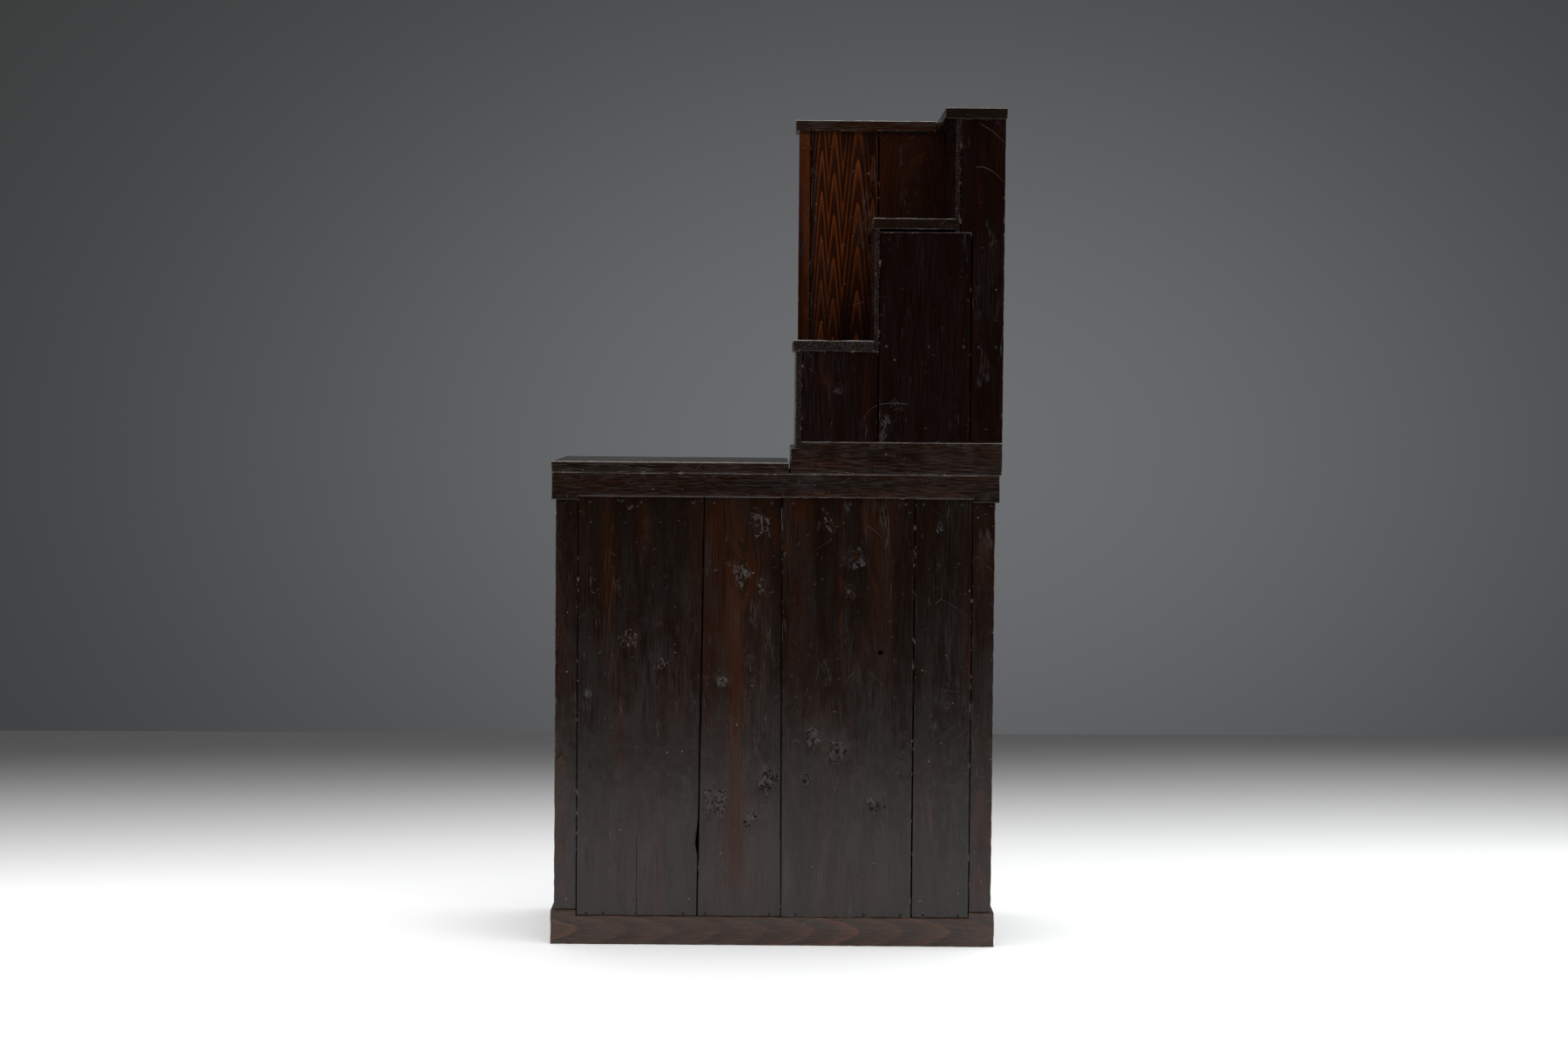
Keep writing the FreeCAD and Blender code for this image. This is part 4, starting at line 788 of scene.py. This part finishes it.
def board_arrays(part, node, number, cut):
    """Cut, wear and mark one board, and return its points, faces and attributes."""
    boards = bpy.context.scene.chest_boards
    points = np.array([vertex.co for vertex in part.verts])
    low, high = points.min(0), points.max(0)
    size = high - low
    order = np.argsort(size, kind="stable")
    round_arrises(part, min(cut.arris, size[order[0]] / 5))
    cut_cells(part, low, size, order, cut.cell)
    if node in LOWER_PLANKS:
        cut_at(part, 2, high[2] - END_ROW)
    if node in JOINED:
        cut_at(part, 0, low[0] + JOINT_ROW)
        cut_at(part, 0, high[0] - JOINT_ROW)
    crack = low[0] + size[0] * CRACK_ACROSS_SHARE if node == CRACK_BOARD else None
    if crack is not None:
        for side in (-1, 0, 1):
            cut_at(part, 0, crack + side * CRACK_HALF_WIDTH)
    part.normal_update()
    part.verts.index_update()
    points = np.array([vertex.co for vertex in part.verts])
    normals = np.array([vertex.normal for vertex in part.verts])
    faces = [[vertex.index for vertex in face.verts] for face in part.faces]
    part.free()
    draws = random.Random(f"{boards.seed} {node} {number}")
    shift = np.array([draws.uniform(0, SHIFT_REACH) for _ in range(3)])
    place = points - low
    heart = draws.uniform(boards.heart_near, boards.heart_far)
    lean = draws.uniform(*LEAN_SHARES) * boards.lean * draws.choice((-1, 1))
    side = draws.uniform(*SIDE_SHARES)
    tone = TONES.get(node, draws.random() * TONE_REST)
    burrs = burrs_of(node, low, size)
    burr = around(points, burrs, 1.0, BURR_TALL)
    along = place[:, order[2]]
    across = place[:, order[1]] - size[order[1]] * side
    deep = place[:, order[0]] + heart + lean * along
    timber = np.stack([across, deep, along + shift[2]], axis=1)
    rings = np.hypot(across, deep) + BULGE * around(points, burrs, BULGE_WIDE, BULGE_TALL)
    glow = glow_at(node, points, low, size, tone)
    if node == FLAME_BOARD:
        rings = flame_rings(place, size)
        glow += flame_tone(place, size) - FLAME_SHADE * np.clip(1 - place[:, 0] / FLAME_SHADE_STRIP, 0, 1)
    edge = np.sort(np.minimum(place, size - place), axis=1)[:, 1]
    scale = np.full(3, MARKS_ACROSS)
    scale[order[2]] = MARKS_ALONG
    marks = 0.5 + 0.5 * field(points, scale, shift)
    crumble = field(points, NIBBLE_SCALE, shift)
    depth = cut.relief * marks * np.clip(np.abs(normals[:, order[0]]), EDGE_MARKS, 1.0)
    depth += cut.nibble * np.exp(-(edge / NIBBLE_REACH) ** 2) * np.clip(crumble + NIBBLE_BIAS, 0, 1)
    if burrs:
        depth += BURR_DEPTH * burr * (0.5 + 0.5 * field(points, BURR_MARKS, shift))
    if crack is not None:
        top = low[2] + size[2] * CRACK_TOP_SHARE
        inside = (np.abs(points[:, 0] - crack) < WELD * 10) & (points[:, 1] < low[1] + CRACK_SKIN)
        open_share = np.clip((top - points[:, 2]) / CRACK_FADE, 0, 1)
        depth = np.where(inside & (points[:, 2] < top), CRACK_DEPTH * open_share + depth, depth)
    worn = np.clip(points - normals * depth[:, None], low, high)
    scuff = np.full(len(points), cut.scuff)
    if node.startswith("riser"):
        scuff += RISER_SCUFF * (place[:, 1] < RISER_STRIP)
    if node == FLAME_BOARD:
        scuff += FLAME_SCUFF * np.clip(1.4 - place[:, 0] / FLAME_STRIP, 0, 1)
    # Painted highlight, partly wear: a bright strip along the planks' upper ends, where light from above would catch
    # their top arris
    if node in LOWER_PLANKS:
        scuff += END_SCUFF_AND_HIGHLIGHT * (place[:, 2] > size[2] - END_HIGHLIGHT_STRIP)
    joint = np.maximum(np.abs(normals[:, 0]), 1 - np.minimum(place[:, 0], size[0] - place[:, 0]) / JOINT_ROW)
    attributes = {
        "timber": timber, "board_place": place, "board_size": np.tile(size, (len(points), 1)), "ring": rings,
        "board_tone": glow, "burr": burr, "scuff": scuff, "joint": np.clip(joint, 0, 1) * (node in JOINED),
    }
    return worn, faces, attributes


def merged_mesh(name, boards):
    """One mesh from the arrays of several boards."""
    points = np.concatenate([board[0] for board in boards])
    faces, start = [], 0
    for board in boards:
        faces += [[index + start for index in face] for face in board[1]]
        start += len(board[0])
    mesh = bpy.data.meshes.new(name)
    mesh.from_pydata(points.tolist(), [], faces)
    for key in boards[0][2]:
        values = np.concatenate([board[2][key] for board in boards])
        kind, field_name = ("FLOAT_VECTOR", "vector") if values.ndim == 2 else ("FLOAT", "value")
        attribute = mesh.attributes.new(key, kind, "POINT")
        attribute.data.foreach_set(field_name, values.astype(np.float32).ravel())
    mesh.shade_smooth()
    mesh.set_sharp_from_angle(angle=CREASE_ANGLE)
    return mesh


def plain_mesh(piece):
    """Take a piece's modifiers into its mesh."""
    shown = piece.evaluated_get(bpy.context.evaluated_depsgraph_get())
    mesh = bpy.data.meshes.new_from_object(shown)
    piece.modifiers.clear()
    piece.data = mesh
    return piece


def new_object(name, data):
    made = bpy.data.objects.new(name, data)
    bpy.context.scene.collection.objects.link(made)
    return made


def place_piece(name, mesh, finish):
    piece = new_object(name, mesh)
    if finish is not None:
        mesh.materials.append(finish_named(finish))
    return piece


def stand_for(piece, node):
    """The piece rides with the node's body and stands in its place."""
    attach(piece, frame["nodes"][node]["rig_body"])
    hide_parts(node)
    return piece


def dress(node, cut):
    """Replace a node by worn boards of the same size in the same place."""
    parts = loose_parts(whole_faces(node))
    boards = [board_arrays(part, node, number, cut) for number, part in enumerate(parts)]
    piece = place_piece(node + "_worn", merged_mesh(node + "_worn", boards), cut.finish)
    even = piece.modifiers.new("even_light", "WEIGHTED_NORMAL")
    even.keep_sharp = True
    return stand_for(plain_mesh(piece), node)


# A nail: half its head for the head's width, the shares of that half at the head's top, the neck and the
# point, the least size of a nail, and how far its head lies in from the frame's
HALF_HEAD, HEAD_TOP, NECK, POINT, LEAST_NAIL, HEAD_SUNK = 0.68, 0.55, 0.7, 0.25, 0.82, 0.0007


def nail_tree(material):
    """A tree that sets a forged nail, with a low square head, on each point."""
    tree = bpy.data.node_groups.new("forged_nails", "GeometryNodeTree")
    face = tree.interface
    face.new_socket("Geometry", in_out="INPUT", socket_type="NodeSocketGeometry")
    sizes = {}
    for name, value in (("Head width", 0.0054), ("Head height", 0.0014), ("Shank length", 0.022)):
        socket = face.new_socket(name, in_out="INPUT", socket_type="NodeSocketFloat")
        socket.default_value = value
        sizes[name] = socket
    seed = face.new_socket("Seed", in_out="INPUT", socket_type="NodeSocketInt")
    seed.default_value = 5
    face.new_socket("Geometry", in_out="OUTPUT", socket_type="NodeSocketGeometry")
    graph = Graph(tree)
    start = graph.add("NodeGroupInput").outputs
    half = graph.times(start["Head width"], HALF_HEAD)
    head = graph.add("GeometryNodeMeshCone", {
        "Vertices": 8, "Side Segments": 2, "Radius Top": graph.times(half, HEAD_TOP),
        "Radius Bottom": half, "Depth": start["Head height"]})
    drop = graph.add("ShaderNodeCombineXYZ", {"Z": graph.times(start["Shank length"], -1.0)})
    shank = graph.add("GeometryNodeMeshCone", {
        "Vertices": 4, "Radius Top": graph.times(half, NECK),
        "Radius Bottom": graph.times(half, POINT), "Depth": start["Shank length"]})
    lowered = graph.add("GeometryNodeTransform", {
        "Geometry": shank.outputs[0], "Translation": drop.outputs[0]})
    both = graph.add("GeometryNodeJoinGeometry")
    graph.feed(both.inputs[0], head.outputs[0])
    graph.feed(both.inputs[0], lowered.outputs[0])
    spin = graph.add("FunctionNodeRandomValue", {2: 0.0, 3: math.pi / 2, "Seed": start["Seed"]}, data_type="FLOAT")
    turn = graph.add("ShaderNodeCombineXYZ", {"X": math.pi / 2, "Y": spin.outputs[1]})
    size = graph.add("FunctionNodeRandomValue", {2: LEAST_NAIL, 3: 1.0, "Seed": start["Seed"]}, data_type="FLOAT")
    points = graph.add("GeometryNodeMeshToPoints", {"Mesh": start["Geometry"]})
    nails = graph.add("GeometryNodeInstanceOnPoints", {
        "Points": points.outputs[0], "Instance": both.outputs[0], "Rotation": turn.outputs[0],
        "Scale": size.outputs[1]})
    real = graph.add("GeometryNodeRealizeInstances", {0: nails.outputs[0]})
    tint = graph.add("GeometryNodeSetMaterial", {"Geometry": real.outputs[0], "Material": material})
    graph.add("NodeGroupOutput", {0: tint.outputs[0]})
    return tree


def nail_heads():
    """The middle of each nail's head, read from the nails of the frame."""
    heads = []
    for part in loose_parts(whole_faces("nails")):
        points = np.array([vertex.co for vertex in part.verts])
        part.free()
        middle = (points.min(0) + points.max(0)) / 2
        heads.append((middle[0], points[:, 1].min() + HEAD_SUNK, middle[2]))
    return heads


class ChestOperator:
    """What every operator of the chest has in common: it dresses the nodes that it lists."""

    bl_options = {"REGISTER", "UNDO"}
    cuts = {}

    def make(self, context):
        for node, cut in self.cuts.items():
            dress(node, cut)

    def execute(self, context):
        self.make(context)
        return {"FINISHED"}


class CHEST_OT_planks(ChestOperator, bpy.types.Operator):
    """Cut and lacquer the four planks that close the lower chest"""

    bl_idname = "chest.planks"
    bl_label = "Back planks"
    cuts = dict.fromkeys(LOWER_PLANKS, PLANK)


class CHEST_OT_frame(ChestOperator, bpy.types.Operator):
    """Cut and lacquer the rails and posts of both chests"""

    bl_idname = "chest.frame"
    bl_label = "Rails and posts"
    cuts = FRAME_CUTS


class CHEST_OT_panels(ChestOperator, bpy.types.Operator):
    """Cut and lacquer the sides, risers and back boards"""

    bl_idname = "chest.panels"
    bl_label = "Panels and risers"
    cuts = dict.fromkeys(PANELS, PANEL)


class CHEST_OT_steps(ChestOperator, bpy.types.Operator):
    """Cut and wear the treads, the top board and the cap"""

    bl_idname = "chest.steps"
    bl_label = "Steps"
    cuts = STEP_CUTS


class CHEST_OT_stair_wall(ChestOperator, bpy.types.Operator):
    """Cut and lacquer the flame-grained wall behind the steps"""

    bl_idname = "chest.stair_wall"
    bl_label = "Stair wall"
    cuts = {"wall_edge_board": AMBER, "wall_flame_board": FLAME, "wall_dark_board": DARK_WALL}


class CHEST_OT_inside(ChestOperator, bpy.types.Operator):
    """Cut the bare shelves, floors and runners inside the chests"""

    bl_idname = "chest.inside"
    bl_label = "Inside"
    cuts = dict.fromkeys(INSIDE, CEDAR)


class CHEST_OT_drawers(ChestOperator, bpy.types.Operator):
    """Cut the drawers and forge their bails"""

    bl_idname = "chest.drawers"
    bl_label = "Drawers"
    cuts = {f"{name}_{end}": cut for name in DRAWERS for end, cut in DRAWER_CUTS}


class CHEST_OT_doors(ChestOperator, bpy.types.Operator):
    """Cut the frames and panels of the sliding doors"""

    bl_idname = "chest.doors"
    bl_label = "Sliding doors"
    cuts = {f"{name}_door_{end}": FRONT for name in DOORS for end in ("frame", "panel")}


class CHEST_OT_nails(ChestOperator, bpy.types.Operator):
    """Drive the forged nails that hold the back boards"""

    bl_idname = "chest.nails"
    bl_label = "Nails"

    def make(self, context):
        mesh = bpy.data.meshes.new("forged_nails")
        mesh.from_pydata(nail_heads(), [], [])
        piece = place_piece("forged_nails", mesh, None)
        modifier = piece.modifiers.new("nails", "NODES")
        modifier.node_group = nail_tree(finish_named("nail_iron"))
        stand_for(plain_mesh(piece), "nails")


def floor_point(pixel, place, frame_axes, focal):
    """Where the sight line through a pixel of the photograph meets the floor."""
    forward, right, up = frame_axes
    across = (pixel[0] - PHOTO_WIDTH / 2) / focal
    down = (pixel[1] - PHOTO_HEIGHT / 2) / focal
    ray = forward + right * across - up * down
    return place + ray * (-place.z / ray.z)


def camera_axes(stage):
    """Forward, right and up of the camera."""
    yaw, pitch, roll = stage.camera_yaw, stage.camera_pitch, stage.camera_roll
    forward = Vector((math.sin(yaw) * math.cos(pitch), math.cos(yaw) * math.cos(pitch), -math.sin(pitch)))
    level = Vector((math.cos(yaw), -math.sin(yaw), 0))
    raised = level.cross(forward)
    right = level * math.cos(roll) + raised * math.sin(roll)
    up = raised * math.cos(roll) - level * math.sin(roll)
    return forward, right, up


def add_camera(stage):
    forward, right, up = camera_axes(stage)
    data = bpy.data.cameras.new("camera")
    data.lens = stage.lens
    data.sensor_fit = "HORIZONTAL"
    camera = new_object("camera", data)
    turn = Matrix((right, up, -forward)).transposed()
    camera.matrix_world = Matrix.Translation(stage.camera_place) @ turn.to_4x4()
    bpy.context.scene.camera = camera
    return camera


# The floor, with a painted pool of light round the chest: how far its painted shade leans to one side and clouds
# over, where it darkens behind and in front, and how far in front of the camera it begins, as a share of the
# camera's distance
FLOOR_SKEW, CLOUD_SCALE, CLOUD_SHARE = -0.14, (0.5, 0.5, 0.5), 0.3
FLOOR_BEHIND, FLOOR_FRONT, FLOOR_NEAR = (0.05, 3.80), (-2.3, -4.7), 1.2


def floor_paint(stage):
    """A pale floor with a painted pool of light: it darkens towards its far edge and far in front."""
    material, graph = new_material("studio_floor")
    place = graph.add("ShaderNodeTexCoord").outputs["Object"]
    deep = graph.split(place)
    skewed = graph.times_plus(deep[0], FLOOR_SKEW, deep[1])
    cloud = graph.times(graph.noise(place, CLOUD_SCALE, 0.0), CLOUD_SHARE)
    behind = graph.ramp(graph.math("ADD", skewed, cloud), *FLOOR_BEHIND)
    front = graph.ramp(graph.math("ADD", deep[1], cloud), *FLOOR_FRONT)
    # Painted shade: the floor's colour falls from pale to dark away from the chest, standing in for the falloff of
    # the light
    far = graph.most(behind, front)
    diffuse = graph.add("ShaderNodeBsdfDiffuse", {
        "Color": graph.blend(far, solid(stage.floor), solid(stage.floor_far))})
    near = graph.math("SUBTRACT", 1.0, far)
    lift = graph.times(graph.times(graph.times(near, near), stage.lift), seen_rays(graph))
    white = graph.add("ShaderNodeEmission", {"Color": (1, 1, 1, 1), "Strength": lift})
    material.cycles.emission_sampling = "NONE"
    whole = graph.add("ShaderNodeAddShader", {0: diffuse.outputs[0], 1: white.outputs[0]})
    graph.add("ShaderNodeOutputMaterial", {0: whole.outputs[0]})
    return material


def add_floor(stage, camera):
    """A floor whose far edge runs where the photograph shows it."""
    focal = stage.lens / camera.data.sensor_width * PHOTO_WIDTH
    place = Vector(stage.camera_place)
    axes = camera_axes(stage)
    left = floor_point(FAR_EDGE_LEFT_PIXEL, place, axes, focal)
    right = floor_point(FAR_EDGE_RIGHT_PIXEL, place, axes, focal)
    run = right - left
    left, right = left - run, right + run
    near = Vector((0, place.y * FLOOR_NEAR, 0))
    corners = [Vector((left.x, near.y, 0)), Vector((right.x, near.y, 0)), right, left]
    mesh = bpy.data.meshes.new("studio_floor")
    mesh.from_pydata([tuple(corner) for corner in corners], [], [(0, 1, 2, 3)])
    mesh.materials.append(floor_paint(stage))
    floor = new_object("studio_floor", mesh)


# The backdrop's pools of light: how far apart they lie, where their middle is, and how wide and tall they
# are; then where the room in front grows dark, and how dark
POOL_APART, POOL_BEARING, POOL_WIDE, POOL_DROP, POOL_TALL = math.pi / 8, 0.05, 0.235, 0.021, 0.16
DARK_FRONT, DARK_SHARE = (0.1, -0.5), 0.92


def light_world(stage):
    """An even light all round, a grey backdrop with soft pools of light, and a dark room in front."""
    world = bpy.data.worlds.new("studio")
    world.use_nodes = True
    bpy.context.scene.world = world
    graph = Graph(world.node_tree)
    way = graph.add("ShaderNodeTexCoord").outputs["Generated"]
    parts = graph.split(way)
    bearing = graph.math("SUBTRACT", graph.math("ARCTAN2", parts[0], parts[1]), POOL_BEARING)
    across = graph.math("DIVIDE", graph.math("WRAP", bearing, POOL_APART, -POOL_APART), POOL_WIDE)
    up = graph.math("DIVIDE", graph.math("ADD", parts[2], POOL_DROP), POOL_TALL)
    far = graph.math("ADD", graph.times(across, across), graph.times(up, up))
    pool = graph.math("EXPONENT", graph.times(far, -1.0))
    wall = graph.blend(pool, solid(stage.wall_dark), solid(stage.wall))
    glossy = graph.add("ShaderNodeLightPath").outputs["Is Glossy Ray"]
    front = graph.share(parts[1], DARK_FRONT, glossy)
    wall = graph.blend(graph.times(front, DARK_SHARE), wall, (0, 0, 0, 1))
    seen = graph.add("ShaderNodeBackground", {"Color": wall, "Strength": 1.0})
    lit = graph.add("ShaderNodeBackground", {"Color": (1, 1, 1, 1), "Strength": stage.fill})
    mixed = graph.add("ShaderNodeMixShader", {0: seen_rays(graph), 1: lit.outputs[0], 2: seen.outputs[0]})
    graph.add("ShaderNodeOutputWorld", {0: mixed.outputs[0]})


# The lamps: their size, where they stand and what they point at, with heights as shares of the chest's,
# and their colour
Lamp = namedtuple("Lamp", "name width height place target colour")
LAMPS = (
    Lamp("top_lamp", 5.0, 5.0, (0.5, -0.1, 2.4), (0.2, -0.1, 0), (1, 1, 1)),
    Lamp("right_lamp", 1.2, 2.4, (3.0, 0.3, 0.7), (0, 0, 0.5), (0.86, 0.94, 1.0)),
    Lamp("left_lamp", 1.2, 2.4, (-3.0, -0.6, 0.75), (0, 0, 0.5), (1, 1, 1)),
)


def add_lamp(look, power):
    data = bpy.data.lights.new(look.name, "AREA")
    data.shape = "RECTANGLE"
    data.size, data.size_y = look.width, look.height
    data.energy = power
    data.color = look.colour
    lamp = new_object(look.name, data)
    tall = Vector((1, 1, FRAME_HIGH.z))
    lamp.location = Vector(look.place) * tall
    lamp.rotation_euler = (Vector(look.target) * tall - lamp.location).to_track_quat("-Z", "Y").to_euler()


class CHEST_OT_stage(ChestOperator, bpy.types.Operator):
    """Set the camera, floor, backdrop and lamps"""

    bl_idname = "chest.stage"
    bl_label = "Stage"

    def make(self, context):
        stage = context.scene.chest_stage
        context.scene.view_settings.view_transform = "Standard"
        camera = add_camera(stage)
        add_floor(stage, camera)
        light_world(stage)
        for lamp in LAMPS:
            add_lamp(lamp, getattr(stage, lamp.name))


OPERATORS = (
    CHEST_OT_stage, CHEST_OT_planks, CHEST_OT_frame, CHEST_OT_panels, CHEST_OT_steps, CHEST_OT_stair_wall,
    CHEST_OT_inside, CHEST_OT_drawers, CHEST_OT_doors, CHEST_OT_nails)
GROUPS = {"chest_boards": ChestBoards, "chest_finish": ChestFinish, "chest_stage": ChestStage}


class CHEST_PT_panel(bpy.types.Panel):
    """Lists the parts of the chest in the sidebar"""

    bl_idname = "CHEST_PT_panel"
    bl_label = "Step Chest"
    bl_space_type = "VIEW_3D"
    bl_region_type = "UI"
    bl_category = "Step Chest"

    def draw(self, context):
        for name, group in GROUPS.items():
            box = self.layout.box()
            for key in group.__annotations__:
                box.prop(getattr(context.scene, name), key)
        for operator in OPERATORS:
            self.layout.operator(operator.bl_idname)


CLASSES = tuple(GROUPS.values()) + OPERATORS + (CHEST_PT_panel,)


def register():
    for kind in CLASSES:
        bpy.utils.register_class(kind)
    for name, group in GROUPS.items():
        setattr(bpy.types.Scene, name, PointerProperty(type=group))


def unregister():
    for name in GROUPS:
        delattr(bpy.types.Scene, name)
    for kind in reversed(CLASSES):
        bpy.utils.unregister_class(kind)


def main():
    register()
    for operator in OPERATORS:
        family, name = operator.bl_idname.split(".")
        getattr(getattr(bpy.ops, family), name)()


if __name__ == "__main__":
    main()
